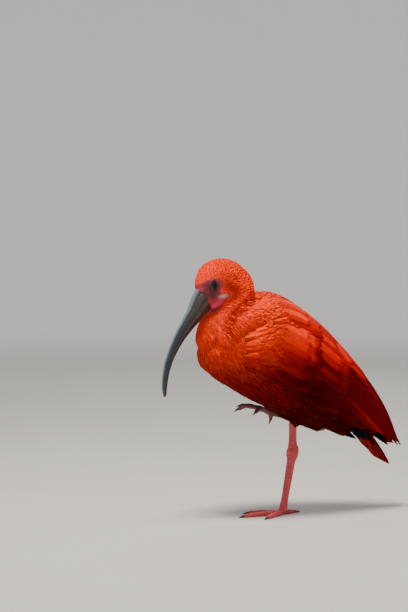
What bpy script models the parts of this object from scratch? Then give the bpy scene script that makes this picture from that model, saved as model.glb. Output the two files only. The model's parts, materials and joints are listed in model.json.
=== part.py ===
"""Scarlet ibis resting on its left leg, life size, in metres with +Z up.

The bird faces -Y and its left side is +X. Shapes are worked out in millimetres about the ball of
the standing foot, scaled to metres as each mesh is made, and moved at the end so that the middle
of the underside of the bird's box is the origin.
"""

import math

import bmesh
import bpy
import numpy as np
from mathutils import Vector

MM = 0.001
GAP = 0.35  # clearance between touching nodes

# Driving dimensions, in millimetres and degrees
BILL_DEPTH = 26.0
BILL_WIDTH = 17.0
HEAD_TURN = 7.0
HEAD_PIVOT = np.array([0.0, -80.0, 0.0])
EYE_RADIUS = 6.2
EYE_CENTRE = np.array([12.6, -121.5, 315.6])
LID_RADII = (5.7, 9.0, 7.6)
MOUTH_CORNER = np.array([15.0, -112.0, 289.0])
MOUTH_SLIT = (5.0, 12.0, 0.7)
MOUTH_TILT = -42.0
NOSTRIL_SLIT = (1.6, 5.0, 0.8)
NOSTRIL_TILT = 50.0
NECK_CUT = ((0, -62, 304), (0, -0.73, 0.69))  # point and direction of the cut below the neck
HEAD_CUT = ((0, -74, 300), (0, -0.666, 0.747))
ANKLE = np.array([4.0, 11.0, 87.0])
STANDING_BALL = np.array([0.0, 0.0, 4.0])
STANDING_KNEE_END = np.array([7.0, 10.5, 119.0])
STANDING_THIGH = ((17, 36, 168, 26), (15, 28, 148, 22), (10.0, 17.5, 132, 12))
TUCKED_ANKLE = np.array([-22.0, 69.0, 115.0])
TUCKED_KNEE_END = np.array([-23.0, 53.0, 124.5])
TUCKED_BALL = np.array([-18.0, -11.0, 138.0])
TUCKED_THIGH = ((-26, 4, 156, 17), (-27, 21, 144, 15), (-25, 38, 131.5, 10.5))
FEATHER_EDGE = 5.5
MIDDLE_TOE = 62.0
TUCKED_SPREAD = 0.6  # share of the standing foot's spread that the lifted toes keep
TUCKED_WAY = (0.236, -0.927, 0.29)  # where the lifted toes point
TUCKED_TOE = 0.88  # share of a toe's length that shows as it bends
TUCKED_HIND = 0.48
TAIL_LENGTH = 100.0
TAIL_PITCH = 56.5
TAIL_ROOT = np.array([0.0, 106.0, 138.0])
TAIL_WAY = np.array([0.0, math.cos(math.radians(TAIL_PITCH)), -math.sin(math.radians(TAIL_PITCH))])
TAIL_UP = np.array([0.0, math.sin(math.radians(TAIL_PITCH)), math.cos(math.radians(TAIL_PITCH))])
VANE_THICKNESS = 0.7
PRIMARIES = 4
SCAPULARS = 3
RIGHT_WING_DROP = 4.0  # the far wing lies this many degrees lower round the body
LANES = 7  # feather lanes down each wing
LANE_SPREAD = 86.0
LANE_TILT = 1.3
SMOOTH_ANGLE = 38.0  # edges sharper than this stay sharp

# Surface of each kind of piece, by the first word of its name: linear colour and roughness
SURFACES = {
    "head": ((0.86, 0.11, 0.035), 0.62),
    "neck": ((0.84, 0.1, 0.03), 0.66),
    "torso": ((0.78, 0.055, 0.018), 0.66),
    "wing": ((0.62, 0.018, 0.012), 0.55),
    "tail": ((0.58, 0.016, 0.012), 0.55),
    "thigh": ((0.66, 0.03, 0.015), 0.66),
    "bill": ((0.075, 0.085, 0.1), 0.32),
    "eye": ((0.008, 0.006, 0.006), 0.06),
    "shank": ((0.58, 0.13, 0.12), 0.5),
    "tarsus": ((0.6, 0.14, 0.13), 0.5),
    "toe": ((0.55, 0.12, 0.11), 0.52),
    "claw": ((0.018, 0.015, 0.015), 0.35),
}

# Body sections from breast to rump: back point (y, z), belly point (y, z), half width
TORSO_SECTIONS = np.array([
    [-112, 243, -111, 196, 32],
    [-98, 266, -98, 184.5, 42.5],
    [-76, 284, -79.5, 174, 50.5],
    [-48, 300, -57, 161, 56],
    [-18, 299, -30, 148, 58.5],
    [12, 286, -3, 136, 57.5],
    [40, 264, 25, 128.5, 53],
    [64, 237, 48, 123, 45],
    [86, 207, 68, 117, 36],
    [102, 180, 86, 111, 28],
    [113, 159, 101, 106, 22],
], float)
TORSO_FRONT = np.array([-125.0, 219.0])
TORSO_BACK = np.array([119.0, 126.0])

# The surface that the folded wing lies on: it leaves the body at the rump and runs on to the wing tip
WING_SECTIONS = np.array([
    [-76, 284, -82, 171.5, 51],
    [-48, 300, -58, 160, 56],
    [-18, 299, -30, 148, 58.5],
    [12, 286, -3, 136, 57.5],
    [40, 267, 24, 127, 54.5],
    [67, 242, 48, 119, 50],
    [93, 213, 72, 110, 45],
    [117, 184, 96, 101, 38],
    [138, 156, 117, 93, 31.5],
    [155, 129, 135, 86, 25.5],
    [167, 103, 150, 80, 20],
], float)

# Head sections from the bill's base to the nape, as the body's
HEAD_SECTIONS = np.array([
    [-135, 312, -109, 279.5, 12.5],
    [-137.5, 321, -102, 279, 16],
    [-134, 331, -97, 280.5, 18.3],
    [-125, 340.5, -91, 282, 20.5],
    [-110, 347.5, -84, 281, 22.5],
    [-92, 348.8, -76, 277, 24],
    [-74, 343.5, -68, 270, 25],
    [-60, 333, -62, 262, 26],
], float)
HEAD_FRONT = np.array([-128.0, 291.0])
HEAD_BACK = np.array([-52.0, 296.0])

# Neck: centre (y, z), half width, half depth, from behind the head down into the breast
NECK_PATH = np.array([
    [-69, 302, 25, 16],
    [-67, 289, 28.5, 26],
    [-79, 268, 31, 34],
    [-92, 251, 32, 36.5],
    [-95, 235, 31, 34.5],
    [-88, 216, 26, 29],
    [-82, 202, 19, 22],
], float)

# Bill centre line (y, z) before the head is turned, from the face to the tip
BILL_PATH = np.array([
    [-123, 301], [-131, 291], [-139, 279.3], [-148.8, 266.3], [-162.5, 248.5],
    [-173, 231.5], [-181, 214.5], [-185.6, 198], [-187.6, 182], [-187, 168.5],
], float)


def smooth_curve(points, count):
    """Catmull-Rom curve through points, count samples evenly spaced in the points' index."""
    points = np.asarray(points, float)
    last = len(points) - 1
    before = 2 * points[:1] - points[1:2]
    after = 2 * points[-1:] - points[-2:-1]
    padded = np.vstack([before, points, after])
    place = np.linspace(0, last, count)
    index = np.minimum(place.astype(int), last - 1)
    t = (place - index)[:, None]
    p0, p1, p2, p3 = (padded[index + k] for k in range(4))
    return 0.5 * (2 * p1 + (p2 - p0) * t + (2 * p0 - 5 * p1 + 4 * p2 - p3) * t**2
                  + (3 * p1 - p0 - 3 * p2 + p3) * t**3)


def curve_at(points, place):
    """The smooth curve through points at one place, counted in the points' index."""
    last = len(points) - 1
    index = int(min(max(math.floor(place), 0), last - 1))
    t = place - index
    p1, p2 = points[index], points[index + 1]
    p0 = points[index - 1] if index > 0 else 2 * p1 - p2
    p3 = points[index + 2] if index + 2 <= last else 2 * p2 - p1
    return 0.5 * (2 * p1 + (p2 - p0) * t + (2 * p0 - 5 * p1 + 4 * p2 - p3) * t**2
                  + (3 * p1 - p0 - 3 * p2 + p3) * t**3)


def new_object(name, points, faces):
    """A mesh object from points in millimetres, with its faces turned outwards."""
    mesh = bpy.data.meshes.new(name)
    mesh.from_pydata([tuple(p) for p in np.asarray(points, float) * MM], [], faces)
    work = bmesh.new()
    work.from_mesh(mesh)
    bmesh.ops.recalc_face_normals(work, faces=work.faces[:])
    if work.calc_volume(signed=True) < 0:
        bmesh.ops.reverse_faces(work, faces=work.faces[:])
    work.to_mesh(mesh)
    work.free()
    obj = bpy.data.objects.new(name, mesh)
    bpy.context.scene.collection.objects.link(obj)
    return obj


def loft(name, rings, start=None, end=None):
    """A closed body through rings of equal count, with a pole or a flat cap at each end."""
    rings = [np.asarray(r, float) for r in rings]
    around = len(rings[0])
    points = np.vstack(rings)
    faces = []
    for i in range(len(rings) - 1):
        for j in range(around):
            k = (j + 1) % around
            a, b = i * around + j, i * around + k
            c, d = b + around, a + around
            faces += [(a, b, c), (a, c, d)]
    first = rings[0].mean(axis=0) if start is None else np.asarray(start, float)
    last = rings[-1].mean(axis=0) if end is None else np.asarray(end, float)
    points = np.vstack([points, first, last])
    start_index, end_index = len(points) - 2, len(points) - 1
    base = (len(rings) - 1) * around
    for j in range(around):
        k = (j + 1) % around
        faces.append((start_index, k, j))
        faces.append((end_index, base + j, base + k))
    return new_object(name, points, faces)


def section_ring(section, around):
    """Points of one body section, an ellipse between its back point and its belly point."""
    back = np.array([0.0, section[0], section[1]])
    belly = np.array([0.0, section[2], section[3]])
    centre, half = (back + belly) / 2, (back - belly) / 2
    angle = np.linspace(0, 2 * math.pi, around, endpoint=False)[:, None]
    return centre + half * np.cos(angle) + np.array([section[4], 0, 0]) * np.sin(angle)


def sectioned_body(name, sections, front, back, count, around):
    """A body through back-and-belly sections, closed by a round dome at both ends."""
    rings = [section_ring(s, around) for s in smooth_curve(sections, count)]
    front = np.array([0.0, *front])
    back = np.array([0.0, *back])

    def dome(ring, pole, shares):
        centre = ring.mean(axis=0)
        return [pole + (centre - pole) * t + (ring - centre) * math.sqrt(1 - (1 - t) ** 2)
                for t in shares]

    domed = (0.12, 0.42)
    rings = dome(rings[0], front, domed) + rings + dome(rings[-1], back, domed)[::-1]
    return loft(name, rings, front, back)


def frames(path, up):
    """Tangent, side and up vectors along a path."""
    tangent = np.gradient(path, axis=0)
    tangent /= np.linalg.norm(tangent, axis=1)[:, None]
    side = np.cross(tangent, np.asarray(up, float))
    side /= np.linalg.norm(side, axis=1)[:, None]
    return tangent, side, np.cross(side, tangent)


def tube_rings(path, side_radius, up_radius, around, up=(0, 0, 1)):
    """Elliptical rings along a path."""
    _, side, above = frames(path, up)
    angle = np.linspace(0, 2 * math.pi, around, endpoint=False)
    rings = []
    for p, s, u, rs, ru in zip(path, side, above, side_radius, up_radius):
        rings.append(p + np.outer(np.cos(angle) * rs, s) + np.outer(np.sin(angle) * ru, u))
    return rings


def boolean(obj, operation, others, solver="EXACT"):
    """Applies one Boolean of obj with the other objects, which are then removed."""
    pieces = bpy.data.collections.new("boolean_pieces")
    bpy.context.scene.collection.children.link(pieces)
    for other in others:
        bpy.context.scene.collection.objects.unlink(other)
        pieces.objects.link(other)
    modifier = obj.modifiers.new(operation, "BOOLEAN")
    modifier.operation = operation
    modifier.operand_type = "COLLECTION"
    modifier.collection = pieces
    modifier.solver = solver
    bpy.context.view_layer.update()
    graph = bpy.context.evaluated_depsgraph_get()
    done = bpy.data.meshes.new_from_object(obj.evaluated_get(graph))
    obj.modifiers.clear()
    obj.data = done
    for other in others:
        bpy.data.objects.remove(other)
    bpy.data.collections.remove(pieces)
    keep_largest(obj)
    return obj


def keep_largest(obj):
    """Keeps only the largest closed surface of obj."""
    work = bmesh.new()
    work.from_mesh(obj.data)
    bmesh.ops.triangulate(work, faces=work.faces[:])
    unseen = set(work.faces)
    shells = []
    while unseen:
        stack = [unseen.pop()]
        shell = list(stack)
        while stack:
            for edge in stack.pop().edges:
                for face in edge.link_faces:
                    if face in unseen:
                        unseen.remove(face)
                        shell.append(face)
                        stack.append(face)
        volume = sum(f.verts[0].co.dot(f.verts[1].co.cross(f.verts[2].co)) for f in shell)
        shells.append((volume, shell))
    shells.sort(key=lambda pair: -pair[0])
    for _, shell in shells[1:]:
        bmesh.ops.delete(work, geom=shell, context="FACES")
    loose = [v for v in work.verts if not v.link_faces]
    bmesh.ops.delete(work, geom=loose, context="VERTS")
    work.to_mesh(obj.data)
    work.free()


def grown_copy(obj, by):
    """A copy of obj whose faces stand out by the given distance."""
    work = bmesh.new()
    work.from_mesh(obj.data)
    work.normal_update()
    moves = [(v, v.normal * (by * MM * min(v.calc_shell_factor(), 2.0))) for v in work.verts]
    for vertex, move in moves:
        vertex.co += move
    mesh = bpy.data.meshes.new("cutter")
    work.to_mesh(mesh)
    work.free()
    cutter = bpy.data.objects.new("cutter", mesh)
    bpy.context.scene.collection.objects.link(cutter)
    return cutter


def seat(host, *guests, by=GAP):
    """Cuts the host clear of its guests, so that they meet with the gap."""
    for guest in guests:
        boolean(host, "DIFFERENCE", [grown_copy(guest, by)])
    return host


def turn_head(obj):
    """Turns a finished head piece about the neck's upright axis."""
    angle = math.radians(HEAD_TURN)
    pivot = Vector(HEAD_PIVOT * MM)
    for vertex in obj.data.vertices:
        offset = vertex.co - pivot
        vertex.co = pivot + Vector((
            offset.x * math.cos(angle) - offset.y * math.sin(angle),
            offset.x * math.sin(angle) + offset.y * math.cos(angle),
            offset.z,
        ))
    return obj


def ellipsoid(name, centre, radii, rows, around, axis_tilt=None):
    """A closed ellipsoid, its poles on the local Z axis."""
    centre = np.asarray(centre, float)
    turn = np.eye(3) if axis_tilt is None else axis_tilt
    angle = np.linspace(0, 2 * math.pi, around, endpoint=False)
    rings = []
    for row in range(1, rows):
        height = math.pi * row / rows
        ring = np.stack([
            radii[0] * math.sin(height) * np.cos(angle),
            radii[1] * math.sin(height) * np.sin(angle),
            np.full(around, radii[2] * math.cos(height)),
        ], axis=1)
        rings.append(centre + ring @ turn.T)
    pole = turn @ np.array([0, 0, radii[2]])
    return loft(name, rings, centre + pole, centre - pole)


def vane(name, path, side, normal, half_widths, tilt):
    """One feather vane: a flat tapered blade, split into triangles alike on both faces.

    A tilt lifts the edge on the side vector's side, and lowers the other by as much.
    """
    shares = np.linspace(0, 1, len(path))
    outline = np.interp(shares, [0, 0.3, 0.8, 0.93, 1], [0.75, 1, 0.95, 0.72, 0.25])
    points = []
    for p, s, n, w in zip(path, side, normal, half_widths * outline):
        lean = n * tilt
        half = n * (VANE_THICKNESS / 2)
        left, right = p - s * w - lean, p + s * w + lean
        points += [left + half, right + half, right - half, left - half]
    faces = []
    last = (len(path) - 1) * 4
    for a in range(0, last, 4):
        b = a + 4
        faces += [(a, a + 1, b + 1), (a, b + 1, b), (a + 2, a + 3, b + 2), (a + 3, b + 3, b + 2)]
        faces += [(a + 1, a + 2, b + 2), (a + 1, b + 2, b + 1), (a + 3, a, b), (a + 3, b, b + 3)]
    faces += [(0, 1, 2), (0, 2, 3), (last, last + 1, last + 2), (last, last + 2, last + 3)]
    return new_object(name, points, faces)


def wing_point(place, angle, lift):
    """A point over the wing's surface: section index, angle from the back in degrees, height."""
    section = curve_at(WING_SECTIONS, place)
    back = np.array([0.0, section[0], section[1]])
    belly = np.array([0.0, section[2], section[3]])
    centre, half = (back + belly) / 2, (back - belly) / 2
    turn = math.radians(angle)
    across = np.array([section[4], 0, 0])
    point = centre + half * math.cos(turn) + across * math.sin(turn)
    depth = np.linalg.norm(half)
    out = half / depth**2 * math.cos(turn) + across / section[4] ** 2 * math.sin(turn)
    return point + out / np.linalg.norm(out) * lift


def wing_normal(place, angle):
    """The outward direction of the wing's surface."""
    low, high = place - 0.2, place + 0.2
    along = wing_point(high, angle, 0) - wing_point(low, angle, 0)
    round_body = wing_point(place, angle + 2, 0) - wing_point(place, angle - 2, 0)
    out = np.cross(along, round_body)
    if out @ (wing_point(place, angle, 1) - wing_point(place, angle, 0)) < 0:
        out = -out
    return out / np.linalg.norm(out)


def lane_angle(lane, place, drop):
    """Where a feather lane runs: its angle round the body, from the back, at each place."""
    share = lane / (LANES - 1)
    return 33 + drop + LANE_SPREAD * share + (place - 3) * (0.6 + 2.2 * share)


def wing_vane(name, lane, span, lifts, drop, drift=0.0, widen=1.0, tilt=-LANE_TILT):
    """A vane that follows one lane over the wing's surface, from its root to its tip."""
    shares = np.array([0, 0.35, 0.7, 0.9, 1.0] if span[1] - span[0] > 3 else [0, 0.5, 0.86, 1.0])
    places = span[0] + (span[1] - span[0]) * shares
    angles = lane_angle(lane, places, drop) + drift * shares
    heights = lifts[0] + (lifts[1] - lifts[0]) * shares
    path = np.array([wing_point(p, a, h) for p, a, h in zip(places, angles, heights)])
    normal = np.array([wing_normal(p, a) for p, a in zip(places, angles)])
    tangent = np.gradient(path, axis=0)
    tangent /= np.linalg.norm(tangent, axis=1)[:, None]
    side = np.cross(normal, tangent)
    side /= np.linalg.norm(side, axis=1)[:, None]
    next_lane = np.array([wing_point(p, a + LANE_SPREAD / LANES, h)
                          for p, a, h in zip(places, angles, heights)])
    spacing = np.linalg.norm(next_lane - path, axis=1)
    return vane(name, path, side, normal, np.maximum(0.78 * widen * spacing, 5.2), tilt)


def wing_core(name, drop):
    """The muscled inner wing: a thin pad over the body, thickest at the bend."""
    rows, columns = 7, 8
    outer, inner = [], []
    for v in np.linspace(0, 1, columns):
        angle = 25 + drop + (LANE_SPREAD + 16) * v
        front = 0.3 + 1.7 * v**5 + 0.5 * (1 - v) ** 6
        rear = 5.0 + 0.5 * math.sin(math.pi * v)
        for u in np.linspace(0, 1, rows):
            place = front + (rear - front) * u
            swell = (1 - abs(2 * v - 1) ** 6) * min(1.0, 3.5 * u) ** 0.6
            height = 0.4 + 5.4 * swell * (1 - u) ** 0.7 + 1.6 * swell * math.sqrt(1 - u)
            outer.append(wing_point(place, angle, height))
            inner.append(wing_point(place, angle, -1.1))
    return slab(name, outer, inner, rows, columns)


def slab(name, outer, inner, rows, columns):
    """A closed pad between two grids of points with the same rows and columns."""
    count = rows * columns
    faces = []
    for j in range(columns - 1):
        for i in range(rows - 1):
            a = j * rows + i
            b, c, d = a + 1, a + rows + 1, a + rows
            faces += [(a, b, c), (a, c, d)]
            faces += [(a + count, c + count, b + count), (a + count, d + count, c + count)]
    rim = list(range(rows))
    rim += [j * rows + rows - 1 for j in range(1, columns)]
    rim += [(columns - 1) * rows + i for i in range(rows - 2, -1, -1)]
    rim += [j * rows for j in range(columns - 2, 0, -1)]
    for a, b in zip(rim, rim[1:] + rim[:1]):
        faces += [(a, a + count, b + count), (a, b + count, b)]
    return new_object(name, np.vstack([outer, inner]), faces)


def wing_tiers(drop):
    """The wing's vanes in tiers, each over the one before, on lanes that all tiers share."""
    vanes = []
    for i in range(PRIMARIES):
        vanes.append(wing_vane("primary", LANES - 4.2 + i, (4.8, 9.95 - 0.5 * i), (0.4, -1.3), drop,
                               drift=5 - 9 * i))
    for i in range(LANES):
        share = i / (LANES - 1)
        vanes.append(wing_vane("secondary", i, (4.0, 10.62 - 3.8 * share**1.2), (1.3, 1.9), drop))
    for i in range(LANES):
        vanes.append(wing_vane("greater_covert", i, (3.0, 5.9 - 0.06 * i), (2.3, 3.5), drop))
    for i in range(1, LANES - 1):
        vanes.append(wing_vane("median_covert", i, (2.0, 4.3 - 0.05 * i), (3.3, 5.0), drop))
    for i in range(SCAPULARS):
        vanes.append(wing_vane("scapular", 0.7 + 0.6 * i, (1.9, 6.9 - 0.8 * i), (3.2, 5.6 - 0.3 * i),
                               drop, drift=-9 - 2 * i, widen=1.25))
    return vanes


def make_wing(name, drop):
    """One folded wing, as the left: the core and all its vanes, fused."""
    return boolean(wing_core(name, drop), "UNION", wing_tiers(drop))


def mirrored(obj):
    """Turns a left piece into a right one, keeping its faces outwards."""
    for vertex in obj.data.vertices:
        vertex.co.x = -vertex.co.x
    obj.data.flip_normals()
    return obj


def make_torso():
    """The feathered trunk from breast to rump."""
    return sectioned_body("torso", TORSO_SECTIONS, TORSO_FRONT, TORSO_BACK, 17, 24)


def make_neck():
    """The drawn-in neck, a short thick column that runs down into the breast."""
    rows = smooth_curve(NECK_PATH, 12)
    around = 22
    angle = np.linspace(0, 2 * math.pi, around, endpoint=False)
    rings = []
    for y, z, half_width, half_depth in rows:
        rings.append(np.stack([half_width * np.cos(angle), y + half_depth * np.sin(angle),
                               np.full(around, z)], axis=1))
    return loft("neck", rings)


def make_head():
    """The feathered head with its lids, before the bill and eyes are seated in it."""
    head = sectioned_body("head", HEAD_SECTIONS, HEAD_FRONT, HEAD_BACK, 12, 20)
    lids = []
    for side in (-1, 1):
        lids.append(ellipsoid("lid", EYE_CENTRE * [side, 1, 1], LID_RADII, 7, 14))
    boolean(head, "UNION", lids)
    mouth = []
    for side in (-1, 1):
        mouth.append(ellipsoid("mouth", MOUTH_CORNER * [side, 1, 1], MOUTH_SLIT, 6, 12,
                               tilt_x(MOUTH_TILT)))
    boolean(head, "DIFFERENCE", mouth)
    return turn_head(head)


def tilt_x(degrees):
    """A rotation matrix about the X axis."""
    a = math.radians(degrees)
    return np.array([[1, 0, 0], [0, math.cos(a), -math.sin(a)], [0, math.sin(a), math.cos(a)]])


def bill_frame():
    """Points, upward normals, depth and width along the bill."""
    path = smooth_curve(BILL_PATH, 19)
    tangent = np.gradient(path, axis=0)
    tangent /= np.linalg.norm(tangent, axis=1)[:, None]
    normal = np.stack([tangent[:, 1], -tangent[:, 0]], axis=1)
    run = np.concatenate([[0], np.cumsum(np.linalg.norm(np.diff(path, axis=0), axis=1))])
    share = run / run[-1]
    places = [0, 0.12, 0.25, 0.4, 0.65, 0.9, 0.97, 1]
    depth = BILL_DEPTH * np.interp(share, places, [1, 0.93, 0.74, 0.54, 0.36, 0.26, 0.2, 0.09])
    width = BILL_WIDTH * np.interp(share, places, [1, 0.85, 0.68, 0.55, 0.42, 0.33, 0.26, 0.12])
    return path, normal, share, depth, width


def make_bill(name, upper):
    """One half of the bill: a long curved half-round with a groove along its side."""
    path, normal, share, depth, width = bill_frame()
    angle = np.linspace(0, math.pi, 9)
    rings = []
    for p, n, t, d, w in zip(path, normal, share, depth, width):
        reach = d * (0.56 if upper else 0.44)
        groove = np.where(np.abs(np.abs(angle - math.pi / 2) - 0.785) < 0.2, 0.9, 1.0)
        shape = groove if upper and t < 0.75 else np.ones(9)
        across = w / 2 * np.cos(angle) * shape
        along = (GAP / 2 + (reach - GAP / 2) * np.sin(angle)) * shape
        along = along if upper else -along
        ring = np.stack([across, p[0] + n[0] * along, p[1] + n[1] * along], axis=1)
        rings.append(ring)
    bill = loft(name, rings)
    if upper:
        nostrils = []
        for side in (-1, 1):
            p, n, w = path[4], normal[4], width[4]
            place = np.array([side * w * 0.41, p[0] + n[0] * 5.5, p[1] + n[1] * 5.5])
            nostrils.append(ellipsoid("nostril", place, NOSTRIL_SLIT, 6, 10,
                                      tilt_x(NOSTRIL_TILT)))
        boolean(bill, "DIFFERENCE", nostrils)
    return turn_head(bill)


def make_eye(name, side):
    """One round eye."""
    centre = EYE_CENTRE * [side, 1, 1]
    return turn_head(ellipsoid(name, centre, (EYE_RADIUS,) * 3, 8, 12))


def leg_tube(name, points, radii, around, count, up=(0, 1, 0)):
    """A round limb through a few points, its radii given as side and up radius."""
    path = smooth_curve(points, count)
    sizes = smooth_curve(radii, count)
    return loft(name, tube_rings(path, sizes[:, 0], sizes[:, 1], around, up))


def make_thigh(name, rows, end):
    """The feathered part of one leg, through rows of a centre and a radius, down to its end."""
    rows = np.array([*rows, (*end, FEATHER_EDGE)])
    return leg_tube(name, rows[:, :3], rows[:, [3, 3]], 18, 10)


def make_shank(name, knee, ankle):
    """The bare end of the tibia, from the feathers to the ankle joint."""
    line = np.array(ankle) - np.array(knee)
    length = np.linalg.norm(line)
    shares = np.linspace(0, (length - 5.5) / length, 4)
    path = np.array(knee) + line * shares[:, None]
    return loft(name, tube_rings(path, [4.6, 4.4, 4.6, 5.2], [4.6, 4.4, 4.6, 5.2], 12, (0, 1, 0.1)))


def make_tarsus(name, ankle, ball):
    """The long bare foot bone with the ankle's knob above and the toes' ball below."""
    line = np.array(ball) - np.array(ankle)
    length = np.linalg.norm(line)
    across = [-7.4, -6.2, -3, 1, 5, 10, 18, 38, 60, 70, length - 4]
    radii = np.array([3.2, 5.4, 6.8, 7.0, 6.2, 4.8, 4.3, 4.0, 4.1, 4.6, 5.8])
    path = np.array(ankle) + np.outer(np.append(across, length - 0.8) / length, line)
    sizes = np.append(radii, 5.2)
    return loft(name, tube_rings(path, sizes * 0.92, sizes * 1.08, 10, (1, 0, 0.05)))


def toe_path(root, direction, up, length, lifts):
    """Points along one toe, raised from its line by the lifts."""
    shares = np.linspace(0, 1, len(lifts))
    return np.array([root + direction * length * s + up * h for s, h in zip(shares, lifts)])


def make_toe(name, root, direction, up, length, radius, lifts, floor):
    """One toe with a pad under each joint; on the floor its pads end in small flats."""
    path = smooth_curve(toe_path(root, direction, up, length, lifts), 8)
    share = np.linspace(0, 1, 8)
    sizes = radius * (1 - 0.3 * share) * (1 + 0.09 * np.cos(share * 6 * math.pi))
    sizes[-1] *= 0.6
    rings = tube_rings(path, sizes, sizes, 8, up)
    if floor:
        rings = [np.column_stack([r[:, :2], np.maximum(r[:, 2], 0.0)]) for r in rings]
    return loft(name, rings)


def make_claw(name, root, direction, up, length, radius, floor):
    """One curved claw, its root sunk in the toe's end."""
    share = np.linspace(0, 1, 6)
    drop = -radius * 1.15 * share**2
    path = np.array([root + direction * length * (s - 0.25) + up * d for s, d in zip(share, drop)])
    sizes = radius * (1 - 0.82 * share**1.3)
    rings = tube_rings(path, sizes * 0.8, sizes, 6, up)
    if floor:
        rings = [np.column_stack([r[:, :2], np.maximum(r[:, 2], 0.05)]) for r in rings]
    return loft(name, rings)


# Each toe: name, degrees from straight ahead towards the outer side, share of the middle toe's length
TOES = (("inner", -33, 0.74), ("middle", 2, 1.0), ("outer", 36, 0.84), ("hind", 196, 0.42))


def make_foot(side_name, side, tarsus, ball, forward, up, curl):
    """Toes and claws spread about the ball; each toe's root is fused with the tarsus.

    With no curl the foot stands on the floor; else its toes hang curled by that much.
    """
    across = np.cross(forward, up) * -side
    floor = curl == 0
    roots = []
    for toe_name, spread, share in TOES:
        a = math.radians(spread * (1 if floor else TUCKED_SPREAD))
        direction = forward * math.cos(a) + across * math.sin(a)
        length = MIDDLE_TOE * share
        hind = toe_name == "hind"
        radius = 3.2 if hind else 3.5
        rise = up
        if floor:
            lifts = [4.8, 2.5, 2.5, 2.1, 1.7]
        elif hind:
            direction, rise = unit(*(-0.6 * forward - 0.8 * up)), -forward
            length *= TUCKED_HIND
            lifts = [0, 0.8, 1.0, 0.2, -1.6]
        else:
            length *= TUCKED_TOE
            lifts = [0.0, 0.8, 0.8, -0.6 * curl, (-3.5 - 0.14 * abs(spread)) * curl]
        root = make_toe("toe_root", ball, direction, rise, length, radius, lifts, floor)
        reach = (7.5 if floor else 8.6) if hind else 12.5 if floor else 19.0
        toe = part_by_plane(root, f"toe_{side_name}_{toe_name}", ball + direction * reach, direction)
        roots.append(root)
        tip = ball + direction * length + rise * lifts[-1]
        slope = direction if floor else direction * length / 4 + rise * (lifts[-1] - lifts[-2])
        slope = unit(*slope)
        claw_up = unit(*np.cross(np.cross(slope, rise), slope))
        claw_length = 8.0 if hind and not floor else 12.0
        claw = make_claw(f"claw_{side_name}_{toe_name}", tip, slope, claw_up, claw_length, 2.1, floor)
        seat(toe, claw)
    boolean(tarsus, "UNION", roots)


def part_by_plane(obj, name, point, normal):
    """Parts obj by a thin planar cut and names the piece on the normal's side."""
    upper = bpy.data.objects.new(name, obj.data.copy())
    bpy.context.scene.collection.objects.link(upper)
    for piece, sign in ((obj, -1), (upper, 1)):
        work = bmesh.new()
        work.from_mesh(piece.data)
        place = (np.asarray(point) + sign * GAP / 2 * np.asarray(normal)) * MM
        everything = work.verts[:] + work.edges[:] + work.faces[:]
        bmesh.ops.bisect_plane(work, geom=everything, dist=1e-8, plane_co=place, plane_no=normal,
                               clear_inner=sign > 0, clear_outer=sign < 0)
        rim = [e for e in work.edges if len(e.link_faces) == 1]
        bmesh.ops.triangle_fill(work, use_beauty=True, edges=rim)
        bmesh.ops.recalc_face_normals(work, faces=work.faces[:])
        work.to_mesh(piece.data)
        work.free()
        keep_largest(piece)
    return upper


def unit(*values):
    """A vector of length one."""
    vector = np.array(values, float)
    return vector / np.linalg.norm(vector)


def tail_core():
    """The short fleshy root of the tail under its coverts."""
    root = TAIL_ROOT[1:]
    run = np.outer([-7, 12, 34, 58], TAIL_WAY[1:]) + np.outer([-6.5, -5.5, -2.5, 0], TAIL_UP[1:])
    rows = np.column_stack([root + run, [18, 17.5, 16, 13], [18, 14, 7.5, 2.4]])
    path = np.column_stack([np.zeros(8), smooth_curve(rows[:, :2], 8)])
    sizes = smooth_curve(rows[:, 2:], 8)
    return loft("tail", tube_rings(path, sizes[:, 0], sizes[:, 1], 16, (0, 1, 0.3)))


def tail_vane(name, start, end, widths, height, drop=0.0):
    """A flat tail feather between two points given as (distance along the tail, sideways)."""
    shares = np.array([0, 0.35, 0.7, 0.9, 1.0])
    along = start[0] + (end[0] - start[0]) * shares
    sideways = start[1] + (end[1] - start[1]) * shares
    lift = height + drop * shares**2
    path = (TAIL_ROOT + np.outer(along, TAIL_WAY) + np.outer(lift, TAIL_UP)
            + np.outer(sideways, [1.0, 0, 0]))
    half_widths = widths[0] + (widths[1] - widths[0]) * shares
    count = len(path)
    return vane(name, path, np.tile([1.0, 0, 0], (count, 1)), np.tile(TAIL_UP, (count, 1)),
                half_widths, 0.0)


def make_tail():
    """The closed tail: a central pair over five lower pairs, with coverts above and below."""
    vanes = [tail_vane("rectrix", (8, -1.2), (TAIL_LENGTH, -1.6), (4.0, 8.0), 4.6),
             tail_vane("rectrix", (8, 1.2), (TAIL_LENGTH, 1.6), (4.0, 8.0), 3.5)]
    for pair in range(5):
        for side in (-1, 1):
            root, tip = 4.2 + 1.1 * pair, 7.6 + 2.5 * pair
            vanes.append(tail_vane("rectrix", (8, side * root), (TAIL_LENGTH * (0.99 - 0.012 * pair),
                                   side * tip), (3.4, 6.8), 2.3 - 1.15 * pair))
    for step, side in enumerate((-1, 1)):
        vanes.append(tail_vane("upper_covert", (6, side * 4.5), (46 + 4 * step, side * 6.5),
                               (6, 8), 7.0 + step, -2.2))
        vanes.append(tail_vane("under_covert", (6, side * 5), (56 + 7 * step, side * 6.5),
                               (6, 8.5), -6.4 - step, 1.6))
    return boolean(tail_core(), "UNION", vanes)


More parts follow.
